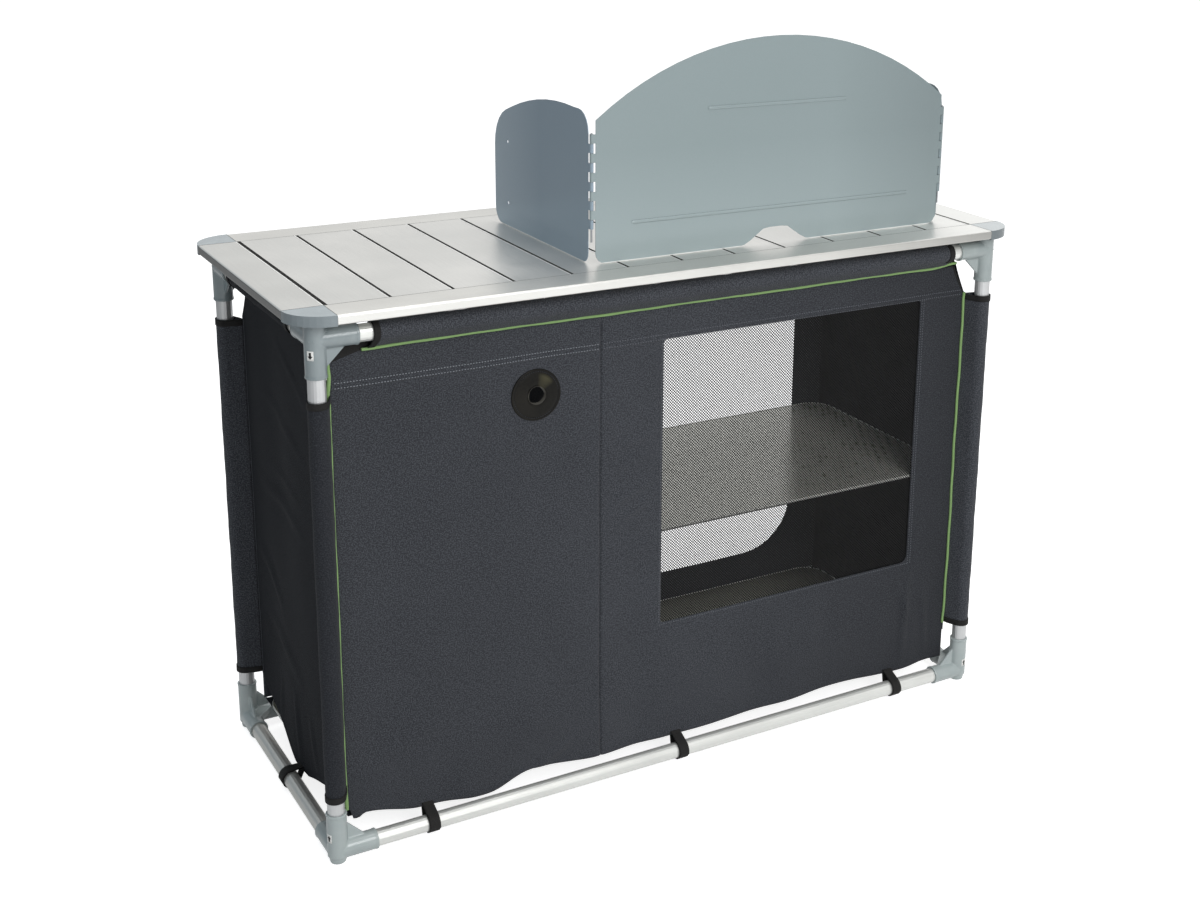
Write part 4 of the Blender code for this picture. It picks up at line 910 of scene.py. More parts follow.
def front_relief(x, z):
    """How far the front panel stands out from its flat cut, in metres."""
    total = ripple(x, z, ((0.41, 3.0, 0.0012, 0.4), (0.23, -1.1, 0.0008, 1.9), (0.137, 2.1, 0.0004, 0.8),
                          (1.7, 0.33, 0.0009, 2.6)))
    low = 1 - fade(z, 0.05, 0.24)
    waves = 0.0026 + ripple(x, z, ((0.19, 9.0, 0.0022, 0.3), (0.11, 5.0, 0.0011, 2.0)))
    total = (total + low * away_from_straps(x) * waves) * fade(CABINET_TOP - z, 0.0, 0.06)
    inside = (fade(x, WINDOW_LEFT - 0.02, WINDOW_LEFT) * fade(-x, -WINDOW_RIGHT - 0.02, -WINDOW_RIGHT)
              * fade(z, WINDOW_LOW - 0.02, WINDOW_LOW) * fade(-z, -WINDOW_HIGH - 0.02, -WINDOW_HIGH))
    total = creased(total * (1 - inside), x, z, FRONT_CREASES)
    total = total * fade(np.hypot(x - GROMMET.x, z - GROMMET.z), GROMMET_R - 0.004, GROMMET_R + 0.025)
    seam = 0.0022 * np.exp(-((x - DIVIDER_X) / 0.0014) ** 2) * fade(CABINET_TOP - z, 0.0, 0.01)
    band = 0.0013 * fade(z, SEAM_LOW - 0.0026, SEAM_LOW - 0.0014)
    total = total + turned_hem(z, hem(LONG_HEM, x, PANEL_X), 0.0007)
    return total * fade(BOX_X - np.abs(x), 0.002, 0.05) - seam + band


def cut_corner(u, z, left_cut, right_cut, half):
    """Height of a panel's top edge, cut away towards its corners by (width, drop)."""
    edge = np.full(np.shape(u), CABINET_TOP)
    for sign, (width, drop) in ((-1, left_cut), (1, right_cut)):
        edge = edge - drop * np.clip((sign * u - (half - width)) / width, 0, 1) ** 0.85
    return np.minimum(z, edge)


def front_point(x, z, lift=0.0):
    """A point on the front panel by its true height."""
    return x, -BOX_Y - front_relief(x, z) - CLOTH / 2 - lift, z


def corner_fillets(u, v, corners):
    """Bends square grid cells into fillets at (u, v, direction u, direction v, radius) corners."""
    for at_u, at_v, sign_u, sign_v, radius in corners:
        a = (u - at_u) * sign_u / radius
        b = (v - at_v) * sign_v / radius
        inside = (a > -1e-6) & (b > -1e-6) & (a < 1 + 1e-6) & (b < 1 + 1e-6)
        level = np.maximum(a, b)
        safe = np.where(level > 1e-9, level, 1)
        angle = np.pi + np.where(b >= a, a / safe / 2, 1 - b / safe / 2) * np.pi / 2
        u = np.where(inside, at_u + sign_u * radius * level * (1 + np.cos(angle)), u)
        v = np.where(inside, at_v + sign_v * radius * level * (1 + np.sin(angle)), v)
    return u, v


def opening(u, v, left, right, low, high, corners):
    """True for cells of an opening outside its corner squares."""
    cells = (u > left) & (u < right) & (v > low) & (v < high)
    for at_u, at_v, sign_u, sign_v, radius in corners:
        cells &= ~(((u - at_u) * sign_u < radius) & ((v - at_v) * sign_v < radius))
    return cells


def cloth_piece(name, mesh, material, flat, thick=CLOTH,
                replaces=()):
    """A thickened piece; the flat size it is given is not used."""
    sheet = piece(name, mesh, material, replaces=replaces, thick=thick)
    return sheet


def build_front_cloth():
    seam_marks = [DIVIDER_X + aside for aside in (-0.004, -0.0013, 0.0, 0.0013, 0.004)]
    us = lines_through([-BOX_X - 0.0008, -PANEL_X + 0.002, *seam_marks, WINDOW_LEFT,
                        WINDOW_LEFT + WINDOW_CORNER_R, WINDOW_RIGHT - WINDOW_LOW_RIGHT_R,
                        WINDOW_RIGHT - WINDOW_CORNER_R, WINDOW_RIGHT, PANEL_X - 0.002, PANEL_X], 0.0046)
    vs = lines_through(HEM_MARKS + [HEM_ZONE, WINDOW_LOW, WINDOW_LOW + WINDOW_CORNER_R,
                                    WINDOW_LOW + WINDOW_LOW_RIGHT_R, WINDOW_HIGH - WINDOW_CORNER_R,
                                    SEAM_LOW - 0.0026, SEAM_LOW - 0.0014, WINDOW_HIGH] + TOP_MARKS, 0.0046)

    def place(u, v):
        x, v = corner_fillets(u, v, WINDOW_CORNERS)
        z = hemmed(v, hem(LONG_HEM, x, PANEL_X), HEM_ZONE)
        return front_point(x, cut_corner(x, z, FRONT_LEFT_CUT, FRONT_RIGHT_CUT, PANEL_X))

    def keep(u, v):
        away = np.hypot(u - GROMMET.x, v - GROMMET.z) > GROMMET_R - 0.008
        return ~opening(u, v, WINDOW_LEFT, WINDOW_RIGHT, WINDOW_LOW, WINDOW_HIGH, WINDOW_CORNERS) & away

    # The front panel takes the darker copy of the weave, with painted shade towards its right end.
    cloth_piece("front_cloth", grid_mesh(us, vs, place, keep), PANEL_CLOTH, (1.058, 0.700),
                replaces=["front_panel"])
    stitches("front_stitching", front_point,
             [((-PANEL_X + 0.004, z), (DIVIDER_X - 0.003, z)) for z in (SEAM_LOW, SEAM_HIGH)])
    rows = [((DIVIDER_X + 0.003, z), (PANEL_X - 0.006, z)) for z in (SEAM_LOW, SEAM_HIGH)]
    for x in (WINDOW_RIGHT + 0.0030, WINDOW_RIGHT + 0.0075):
        rows.append(((x, WINDOW_LOW - 0.004), (x, WINDOW_HIGH)))
    rows.append(((WINDOW_LEFT - 0.004, WINDOW_LOW - 0.0030), (WINDOW_RIGHT + 0.003, WINDOW_LOW - 0.0030)))
    rows.append(((WINDOW_LEFT - 0.0030, WINDOW_LOW), (WINDOW_LEFT - 0.0030, WINDOW_HIGH)))
    stitches("window_stitching", front_point, rows, DIM_THREAD)
    seam = [((DIVIDER_X + 0.0016, CABINET_TOP - 0.006), (DIVIDER_X + 0.0016, 0.045))]
    stitches("divider_stitching", front_point, seam, DARK_THREAD, pitch=0.0060, length=0.0030)


# Sleeves, bindings and straps

def loop_path(centre, tip, radius, count=36):
    """Evenly spaced points of a cloth loop from its sewn tip round a tube and back."""
    centre, tip = np.array(centre, float), np.array(tip, float)
    away = tip - centre
    length = np.hypot(*away)
    toward = math.atan2(away[1], away[0])
    spread = math.acos(radius / length)
    angles = np.linspace(toward + spread, toward + 2 * np.pi - spread, 60)
    ring = centre + radius * np.stack([np.cos(angles), np.sin(angles)], axis=-1)
    across = np.array([-away[1], away[0]]) / length * 0.0006
    path = np.vstack([tip + across, ring, tip - across])
    run = run_along(path)
    even = np.linspace(0, run[-1], count)
    return np.stack(at_run(run, path, even), axis=-1), even


def loop_length(centre, tip, radius):
    return float(loop_path(centre, tip, radius)[1][-1])


def loop_mesh(centre, tip, radius, start, end, order, slack=None, step=0.006, count=36, keep=None):
    """A cloth loop lofted along a tube; slack(around, along) moves it outwards a little."""
    path, around = loop_path(centre, tip, radius, count)
    ahead = heading(path)
    out = np.stack([ahead[:, 1], -ahead[:, 0]], axis=-1)

    def place(u, v):
        a, b = at_run(around, path, u)
        if slack is not None:
            shift = slack(u / around[-1], v) * fade(np.minimum(u, around[-1] - u), 0, 0.008)
            out_a, out_b = at_run(around, out, u)
            a, b = a + shift * out_a, b + shift * out_b
        return [(a, b, v)[axis] for axis in order]

    return grid_mesh(around, lines_through([start, end], step), place, keep)


def sleeve(name, centre, tip, low, high, order, material, seed, open_end=False):
    """A sewn tube sleeve with its black bindings at both ends."""
    def slack(around, along):
        terms = ((0.9, 0.060, 0.4, seed), (-0.6, 0.023, 0.22, seed * 2.1), (0.35, 0.140, 0.5, seed * 0.7))
        return 0.0004 * (0.9 + ripple(around, along, terms))

    def over(around, along):
        return slack(around, along) + BINDING

    width = loop_length(centre, tip, SLEEVE_R)
    tube = loop_mesh(centre, tip, SLEEVE_R, low + 0.001, high - 0.001, order, slack)
    cloth_piece(name, tube, material, (high - low, width))
    bare_flap = width - 0.8 * math.sqrt(math.dist(centre, tip) ** 2 - SLEEVE_R ** 2)
    rings = []
    for at in (low, high - BINDING_WIDTH):
        keep = (lambda u, v: u < bare_flap) if open_end and at != low else None
        rings.append(loop_mesh(centre, tip, SLEEVE_R, at, at + BINDING_WIDTH, order, over, 0.0026,
                               keep=keep))
    cloth_piece(name + "_binding", merged(rings), TAPE, (2 * BINDING_WIDTH, width), BINDING)


def strap(name, centre, tip, at, order):
    """A webbing loop round a bottom rail, with its lapped and sewn end."""
    def slack(around, along):
        return 0.0002 + 0.0004 * np.sin(np.pi * around) ** 2

    low, high = at - STRAP_WIDTH / 2, at + STRAP_WIDTH / 2
    loop = loop_mesh(centre, tip, STRAP_R, low, high, order, slack, 0.0035)
    lap_tip = np.array(centre) + (np.array(tip) - np.array(centre)) * 0.96
    bm = opened(loop_mesh(centre, lap_tip, TUBE_R + 0.0030, low, high, order, None, 0.0035, 30))
    layer = bm.loops.layers.uv["cut"]
    far = {face: max(corner[layer].uv.x for corner in face.loops) for face in bm.faces}
    gone = [face for face, reach in far.items() if reach > 0.42 * max(far.values())]
    bmesh.ops.delete(bm, geom=gone, context="FACES")
    cloth_piece(name, merged([loop, written(bm)]), WEBBING,
                (STRAP_WIDTH, loop_length(centre, tip, STRAP_R) * 1.42), thick=0.0014)


def hang_panel(label, side, edge, seed, longer=0.0, open_end=False):
    """Top rail sleeve and three bottom rail straps of the front or rear panel."""
    reach = LEG_X - SOCKET_REACH - BARE_RAIL
    sleeve(f"{label}_top_sleeve", (side * LEG_Y, HIGH_RAIL_Z), (side * BOX_Y, CABINET_TOP), -reach,
           reach + longer, LENGTHWISE, FRONT_CLOTH, seed, open_end)
    for index, x in enumerate((-STRAP_X, 0.0, STRAP_X)):
        tip = (side * (BOX_Y + 0.001), float(hem(edge, np.array(x), PANEL_X)) + 0.006)
        strap(f"{label}_strap_{index + 1}", (side * LEG_Y, LOW_RAIL_Z), tip, x, LENGTHWISE)


def build_piping():
    """Green piping in three runs: up the left edge, along the top seam, down the right edge."""
    def wobble(z, seed):
        return ripple(z, 0 * z, ((0.31, 1.0, 0.0006, seed), (0.083, 1.0, 0.0003, seed * 1.7)))

    def cord(x, z, y_shift, radius=PIPING_R):
        y = front_point(x, z, CLOTH + PIPING_R * 0.6)[1] + y_shift
        return swept(np.stack([x, y, z], axis=-1), radius)

    z = np.linspace(0.0665, 0.7255, 140)
    kink = 0.0014 * np.exp(-((z - 0.705) / 0.012) ** 2) - 0.0008 * np.exp(-((z - 0.680) / 0.010) ** 2)
    x = -BOX_X - 0.0022 + wobble(z, 0.5) * 0.5 + kink + 0.0008 * (1 - fade(z, 0.066, 0.10))
    left = cord(x, z, wobble(z, 2.0) * 0.4 - 0.0012, PIPING_R * 1.2)
    x = np.linspace(-0.4865, 0.5015, 200)
    rise = 0.0060 * fade(x, 0.455, 0.500)
    top = CABINET_TOP + 0.0017 + rise - 0.0010 * (1 - fade(x, -0.485, -0.44)) + wobble(x, 1.1) * 0.8
    along = cord(x, top, wobble(x, 0.2) * 0.3 - 0.0014 - rise)
    z = np.linspace(0.1035, 0.6885, 120)
    x = PANEL_X + 0.0002 + wobble(z, 1.9) * 1.2 - 0.0012 * (1 - fade(z, 0.103, 0.14))
    right = cord(x, z, wobble(z, 0.9) * 0.4)
    piece("piping", merged([left, along, right]), PIPING, replaces=["front_piping"])


# Side walls

LEFT_CREASES = (
    ((0.150, 0.440), (-0.060, 0.425), 0.014, 0.0026, 0.010),
    ((0.085, 0.480), (-0.050, 0.472), 0.010, 0.0016, 0.006),
    ((0.175, 0.330), (0.050, 0.262), 0.015, 0.0028, 0.010),
    ((0.150, 0.230), (-0.020, 0.170), 0.018, 0.0022, 0.008),
    ((0.120, 0.600), (-0.080, 0.540), 0.014, 0.0014, 0.006),
    ((0.060, 0.700), (-0.120, 0.620), 0.012, 0.0012, 0.004),
    ((0.020, 0.150), (0.000, 0.030), 0.010, 0.0026, 0.002),
    ((-0.040, 0.140), (-0.070, 0.050), 0.012, 0.0020, 0.002),
    ((0.090, 0.140), (0.105, 0.060), 0.010, 0.0022, 0.002),
)
RIGHT_CREASES = tuple((end, start, width, depth, -bend) for start, end, width, depth, bend in LEFT_CREASES)
SLEEVE_SLIPS = {(-1, -1): -0.0045, (-1, 1): -0.0017, (1, -1): 0.0030, (1, 1): 0.0}


def build_side(name, side, edge, creases):
    """A side wall with leg sleeves, top rail sleeve, bindings and strap."""
    seed = 0.9 + side * 0.5

    def surface(y, z, lift=0.0):
        total = creased(ripple(y, z, ((0.21, 1.4, 0.0013, seed), (0.13, -0.7, 0.0008, seed * 1.9),
                                      (0.9, 0.27, 0.0010, seed * 0.6))), y, z, creases)
        total = total + turned_hem(z, hem(edge, y, BOX_Y, True), 0.0006)
        calm = fade(BOX_Y - np.abs(y), 0.0, 0.05) * fade(CABINET_TOP - z, 0.0, 0.07)
        return side * (BOX_X + total * calm + CLOTH / 2 + lift), y, z

    def place(y, v):
        z = hemmed(v, hem(edge, y, BOX_Y, True), HEM_ZONE)
        return surface(y, cut_corner(y, z, SIDE_CUT, SIDE_CUT, BOX_Y))

    vs = lines_through(HEM_MARKS + [HEM_ZONE] + TOP_MARKS, 0.005)
    # The wall takes the darker copy of the weave: painted shade.
    cloth_piece(f"{name}_cloth", grid_mesh(lines_through([-BOX_Y, BOX_Y], 0.005), vs, place), SIDE_CLOTH,
                (0.390, 0.700), replaces=[name])
    for end, label in ((-1, "front"), (1, "rear")):
        slip = SLEEVE_SLIPS[(side, end)]
        # The front-left sleeve, on the shaded side, takes a darker copy of the weave: painted shade.
        cloth = SLEEVE_CLOTH_PAINTED_SHADE if (side, end) == (-1, -1) else FRONT_CLOTH
        sleeve(f"{name}_{label}_sleeve", (side * LEG_X, end * LEG_Y), (side * BOX_X, end * BOX_Y),
               LEG_LOW + slip, LEG_HIGH + slip, UPRIGHT, cloth, 1.0 + side + end * 0.4)
    reach = LEG_Y - SOCKET_REACH - BARE_RAIL
    sleeve(f"{name}_top_sleeve", (side * LEG_X, HIGH_RAIL_Z), (side * BOX_X, CABINET_TOP), -reach, reach,
           CROSSWISE, SIDE_CLOTH, 2.0 + side)
    tip = (side * (BOX_X + 0.001), float(hem(edge, np.array(0.0), BOX_Y, True)) + 0.006)
    strap(f"{name}_strap", (side * LEG_X, LOW_RAIL_Z), tip, 0.0, CROSSWISE)
    rows = [((end * (BOX_Y - 0.006), 0.075), (end * (BOX_Y - 0.006), LEG_HIGH)) for end in (-1, 1)]
    rows.append(((-BOX_Y + 0.03, CABINET_TOP - 0.006), (BOX_Y - 0.03, CABINET_TOP - 0.006)))
    stitches(f"{name}_stitching", surface, rows, DIM_THREAD, 0.0034, 0.0031)


# Net, grommet and rear panel

def build_net():
    """Mesh window: two layers of flat strands laid crosswise at 45 degrees."""
    wide, tall = NET_HIGH.x - NET_LOW.x, NET_HIGH.z - NET_LOW.z
    step = NET_PITCH * math.sqrt(2)
    points = []
    for slope, strand, y in ((1, 0.00108, -BOX_Y + 0.00095), (-1, 0.00125, -BOX_Y + 0.00075)):
        half = strand / 2 * math.sqrt(2)
        for at in range(1, int((wide + tall) / step)):
            shift = at * step
            start, end = max(0.0, shift - tall), min(shift, wide)
            if end - start < 0.002:
                continue
            x0, x1 = NET_LOW.x + start, NET_LOW.x + end
            base = NET_HIGH.z - shift if slope > 0 else NET_LOW.z + shift
            z0, z1 = base + slope * start, base + slope * end
            for depth in (y, y + 0.00025):
                points += [(x0 - half, depth, z0), (x0 + half, depth, z0), (x1 + half, depth, z1),
                           (x1 - half, depth, z1)]
    sides = ((0, 1, 2, 3), (7, 6, 5, 4), (0, 4, 5, 1), (1, 5, 6, 2), (2, 6, 7, 3), (3, 7, 4, 0))
    faces = [[first + k for k in side] for first in range(0, len(points), 8) for side in sides]
    net = piece("window_mesh", mesh_from(points, faces), NET, replaces=["window_net"], smooth=False)
    net.visible_shadow = False


def build_grommet():
    """Soft rubber hose grommet: sewn flange, dished face and a rolled lip round the hole."""
    hole = 0.0125
    rim = ((0.0, 0.0), (0.0, 0.0012), (0.0006, 0.0017), (0.0024, 0.0019), (0.0040, 0.0013), (0.0056, 0.0020),
           (0.0090, 0.0026), (0.0150, 0.0030))
    lip = ((0.0080, 0.0034), (0.0036, 0.0034), (0.0022, 0.0030), (0.0010, 0.0042), (0.0, 0.0034),
           (-0.0002, -0.0012), (0.0030, -0.0020))
    profile = [(GROMMET_R - inward, z) for inward, z in rim] + [(hole + out, z) for out, z in lip]
    profile.append((GROMMET_R - 0.006, -0.0008))
    face = Matrix.Translation((GROMMET.x, -BOX_Y - CLOTH, GROMMET.z)) @ Matrix.Rotation(math.pi / 2, 4, "X")
    mesh = outward(revolved(profile, face, 72))
    for vert in mesh.vertices:
        dx, dz = vert.co.x - GROMMET.x, vert.co.z - GROMMET.z
        away, angle = math.hypot(dx, dz), math.atan2(dz, dx)
        if away < hole + 0.006:
            pull = 1 + 0.030 * math.cos(3 * angle + 0.6) + 0.018 * math.cos(5 * angle)
            vert.co.x = GROMMET.x + dx * pull
            vert.co.z = GROMMET.z + dz * pull
        vert.co.y -= 0.0006 * math.cos(2 * angle + 0.7) * away / GROMMET_R
    piece("grommet", mesh, RUBBER, replaces=["hose_grommet"], sharp=1.0)
    seam_r = GROMMET_R - 0.0040

    def ring(u, v, lift):
        radius = seam_r + v
        return (GROMMET.x + radius * np.cos(u / seam_r), -BOX_Y - CLOTH - 0.0014 - lift,
                GROMMET.z + radius * np.sin(u / seam_r))

    stitches("grommet_stitching", ring, [((0.0, 0.0), (2 * math.pi * seam_r, 0.0))], DARK_THREAD,
             0.0034, 0.0024, 0.0)


def rear_point(x, z, lift=0.0):
    """A point on the rear panel by its true height."""
    total = ripple(x, z, ((0.33, 1.1, 0.0010, 0.2), (0.19, -0.6, 0.0007, 2.3)))
    low = 1 - fade(z, 0.05, 0.11)
    waves = ripple(x, z, ((0.21, 4.0, 0.0024, 0.9), (0.13, 3.0, 0.0012, 0.1)))
    total = total + low * away_from_straps(x) * waves
    calm = fade(BOX_X - np.abs(x), 0.002, 0.05) * fade(CABINET_TOP - z, 0.0, 0.06)
    return x, BOX_Y + total * calm + CLOTH / 2 + lift, z


def build_rear():
    marks = [-BOX_X - 0.0004]
    corners = []
    for _label, left, right in DOORS:
        marks += [left, left + DOOR_CORNER_R, right - DOOR_CORNER_R, right]
        corners.append([(left, DOOR_LOW, 1, 1, DOOR_CORNER_R), (right, DOOR_LOW, -1, 1, DOOR_CORNER_R)])
    us = lines_through(marks + [BOX_X + 0.0004], 0.0065)
    vs = lines_through(HEM_MARKS + [DOOR_LOW, DOOR_LOW + DOOR_CORNER_R, DOOR_HIGH] + TOP_MARKS, 0.0065)

    def place(u, v):
        u, v = corner_fillets(u, v, sum(corners, []))
        z = hemmed(v, hem(REAR_HEM, u, PANEL_X), DOOR_LOW, 0.004)
        return rear_point(u, cut_corner(u, z, SIDE_CUT, SIDE_CUT, PANEL_X))

    def keep(u, v):
        doors = [opening(u, v, left, right, DOOR_LOW, DOOR_HIGH, pair)
                 for (_label, left, right), pair in zip(DOORS, corners)]
        return ~np.any(doors, axis=0)

    cloth_piece("rear_cloth", grid_mesh(us, vs, place, keep), FRONT_CLOTH, (1.058, 0.698),
                replaces=["rear_panel"])


# Moulded connectors

def united_softly(shapes, voxel, smoothing):
    """Closed shapes melted into one moulding with soft inner corners."""
    obj = modify(added("helper", merged(shapes)), "melt", "REMESH", mode="VOXEL", voxel_size=voxel)
    return evaluated(modify(obj, "soften", "SMOOTH", factor=0.5, iterations=smoothing))


def bored(mesh, cutters):
    """The mesh with holes cut by closed cutters."""
    tool = added("helper", merged(cutters))
    result = evaluated(modify(added("helper", mesh), "bores", "BOOLEAN", operation="DIFFERENCE",
                              solver="EXACT", object=tool))
    bpy.data.objects.remove(tool, do_unlink=True)
    return result


def dot(radius, around, turn, z):
    """A small ball at a turn round the leg's axis."""
    centre = Matrix.Translation((around * math.cos(turn), around * math.sin(turn), z))
    bm = bmesh.new()
    bmesh.ops.create_icosphere(bm, subdivisions=2, radius=radius, matrix=centre)
    return written(bm)


def connector_body(mouth, tail, end):
    """Three sockets with webs and a gusset, melted together; rails leave along +X and +Y."""
    root = SOCKET_R * 0.75
    web = root + WEB_LEG + SOCKET_R / 2
    over = SOCKET_R / 4
    web_outline = [(root, root), (web, root), (root, web)]
    sockets = [(Vector((0, 0, 1)), -tail, mouth), (Vector((1, 0, 0)), 0, SOCKET_REACH),
               (Vector((0, 1, 0)), 0, SOCKET_REACH)]
    upright_x = Matrix(((1, 0, 0, 0), (0, 0, 1, 0), (0, 1, 0, 0), (0, 0, 0, 1)))
    upright_y = Matrix(((0, 0, 1, 0), (1, 0, 0, 0), (0, 1, 0, 0), (0, 0, 0, 1)))
    shapes = [bar(SOCKET_R, ahead * near, ahead * far, 56) for ahead, near, far in sockets]
    shapes += [bar(SOCKET_R + RIM_PROUD, ahead * (far - RIM_WIDTH), ahead * far, 56)
               for ahead, _near, far in sockets]
    shapes += [prism(web_outline, -WEB_THICK / 2, WEB_THICK / 2, turn) for turn in (upright_x, upright_y)]
    shapes += [prism([(over, over), (GUSSET_LEG, over), (over, GUSSET_LEG)], GUSSET_RISE,
                     GUSSET_RISE + GUSSET_THICK, Matrix.Identity(4)), end]
    body = united_softly([outward(shape) for shape in shapes], 0.0010, 4)
    return bored(body, [bar(TUBE_R + 0.00035, ahead * (SOCKET_R + 0.0015), ahead * 2 * far, 48)
                        for ahead, _near, far in sockets])


def build_connectors():
    foot = [(0.00001, 0.0), (0.0092, 0.0), (0.0104, 0.0006), (0.0112, 0.0018), (0.0117, 0.0045),
            (0.0124, 0.0085), (0.0131, 0.0108), (0.00001, 0.0120)]
    foot = revolved(foot, Matrix.Translation((0, 0, -LOW_RAIL_Z)), 56)
    low = connector_body(LOW_MOUTH_Z - LOW_RAIL_Z, LOW_RAIL_Z - 0.0100, foot)
    scallops = [dot(0.0009, 0.0102, turn, 0.0014 - LOW_RAIL_Z)
                for turn in np.linspace(0, 2 * math.pi, 18, endpoint=False)]
    low = merged([low, dot(0.0010, 0.0126, math.radians(197), 0.0152 - LOW_RAIL_Z)] + scallops)
    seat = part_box("table_corner_front_right")[0].z - HIGH_RAIL_Z - 0.0003
    peg = bar(PEG_R, (0, 0, 0.002 - seat), (0, 0, HIGH_RAIL_Z - HEAD_BOX[1].z), 40)
    high = connector_body(HIGH_RAIL_Z - HIGH_MOUTH_Z, seat, peg)
    high = merged([high] + [dot(0.0008, SOCKET_R, math.radians(turn), 0.0005) for turn in (229, 205)])
    over = Matrix.Rotation(math.pi, 4, Vector((1, 1, 0)))
    for name, x, y, turn in (("front_left", -LEG_X, -LEG_Y, 0), ("front_right", LEG_X, -LEG_Y, 90),
                             ("rear_right", LEG_X, LEG_Y, 180), ("rear_left", -LEG_X, LEG_Y, 270)):
        heading_turn = Matrix.Rotation(math.radians(turn), 4, "Z")
        lower, upper = low.copy(), high.copy()
        lower.transform(Matrix.Translation((x, y, LOW_RAIL_Z)) @ heading_turn)
        upper.transform(Matrix.Translation((x, y, HIGH_RAIL_Z)) @ heading_turn @ over)
        # The feet take the lighter copy of the plastic as painted light, and the left heads take the darker
        # copy as painted shade.
        piece(f"foot_{name}", lower, PLASTIC_PAINTED_LIGHT, replaces=[f"bottom_connector_{name}"],
              sharp=0.6)
        piece(f"head_{name}", upper, PLASTIC_PAINTED_SHADE if x < 0 else PLASTIC,
              replaces=[f"top_connector_{name}"], sharp=0.6)


def arrow_sticker(name, leg_x, degrees, z, up):
    """Plain white sticker with a black arrow, wrapped on a leg socket."""
    def on_socket(u, v, lift):
        turn = math.radians(degrees) + u / SOCKET_R
        away = SOCKET_R + lift
        return leg_x + away * np.cos(turn), -LEG_Y + away * np.sin(turn), z + up * v

    def white(u, v):
        return on_socket(u, v, 0.00012)

    def shaft(u, v):
        return on_socket(u, v, 0.00025)

    def head(u, v):
        return on_socket(u, 0.0004 + v * (0.0044 - 0.0042 * np.abs(u) / 0.0033), 0.00025)

    paper = grid_mesh(np.linspace(-0.0046, 0.0046, 15), np.linspace(-0.0063, 0.0063, 5), white)
    piece(name, paper, PAPER, thick=0.00012)
    ink = merged([grid_mesh(np.linspace(-0.0015, 0.0015, 7), np.linspace(-0.0045, 0.0008, 3), shaft),
                  grid_mesh(np.linspace(-0.0033, 0.0033, 13), np.linspace(0.0, 1.0, 5), head)])
    piece(f"{name}_ink", ink, INK, thick=0.00008)


# Bound edges

def ribbon(path, width, surface, shift=0.0):
    """A tape laid on a surface along (u, z) points; shift moves it aside."""
    path = np.array(path, float)
    run = run_along(path)
    ahead = heading(path)

    def place(s, t):
        ahead_u, ahead_z = at_run(run, ahead, s)
        u, z = at_run(run, path, s)
        return surface(u - ahead_z * (t + shift), z + ahead_u * (t + shift))

    return grid_mesh(lines_through([0.0, run[-1]], 0.004), np.linspace(-width / 2, width / 2, 5), place)


def build_corner_binding():
    """Black tape folded over the cut corners of the front panel."""
    width, drop = FRONT_LEFT_CUT
    left = [(0.004 - LEG_X + SOCKET_REACH + BARE_RAIL, CABINET_TOP + 0.0090),
            (width - PANEL_X, CABINET_TOP + 0.0040),
            (width / 2 - PANEL_X, CABINET_TOP - drop * 0.45 + 0.0034),
            (-PANEL_X, CABINET_TOP - drop + 0.0030)]
    width, drop = FRONT_RIGHT_CUT
    right = [(PANEL_X - width + width * at, CABINET_TOP - drop * at ** 0.85) for at in np.linspace(0, 1, 12)]
    tape = merged([ribbon(left, 0.0150, front_point, -0.0028), ribbon(right, 0.0030, front_point)])
    cloth_piece("front_corner_binding", tape, TAPE, (0.072, 0.0120), thick=0.0022)


# Inside

def plain_sheet(name, node, place, us, vs):
    cloth_piece(name, grid_mesh(us, vs, place), SIDE_CLOTH,
                (float(us[-1] - us[0]), float(vs[-1] - vs[0])), replaces=[node])


def flat_sheet(name, node):
    low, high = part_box(node)
    plain_sheet(name, node, level_place((low.z + high.z) / 2), lines_through([low.x, high.x], 0.02),
                lines_through([low.y, high.y], 0.02))


def board_edge(name, node):
    """Near-white band round the edge of a liner board with rounded corners."""
    low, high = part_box(node)
    outline = filleted([(low.x, low.y), (high.x, low.y), (high.x, high.y), (low.x, high.y)], 0.040)
    path = np.array(outline + [outline[0]])
    away = path - path.mean(axis=0)
    grown = path + np.sign(away) * 0.0002
    inner = path - away / np.linalg.norm(away, axis=1)[:, None] * 0.0012
    rings = [(grown, low.z - 0.0006), (grown, high.z + 0.0008), (inner, high.z + 0.0004)]
    points = np.vstack([np.column_stack([ring, np.full(len(ring), z)]) for ring, z in rings])
    count = len(path)
    faces = [(first + at, first + at + 1, first + count + at + 1, first + count + at)
             for first in (0, count) for at in range(count - 1)]
    piece(name, mesh_from(points, faces), BOARD_EDGE, thick=0.0002)


def build_inside():
    flat_sheet("floor_cloth", "cabinet_floor")
    low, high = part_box("divider")
    deep = high.y
    swing = (high.x - low.x) / 2 - CLOTH / 2

    def divider_place(y, z):
        sway = np.sin(np.pi * (y + deep) / (2 * deep)) * np.sin(2 * np.pi * z / CABINET_TOP)
        return (low.x + high.x) / 2 + 0.9 * swing * sway, y, z

    plain_sheet("divider_cloth", "divider", divider_place, lines_through([low.y, high.y], 0.012),
                lines_through([low.z, high.z], 0.012))
    flat_sheet("sling_cloth", "shelf_sling")
    for node in ("floor_board_left", "floor_board_right", "shelf_board"):
        board_edge(f"{node}_edge", node)


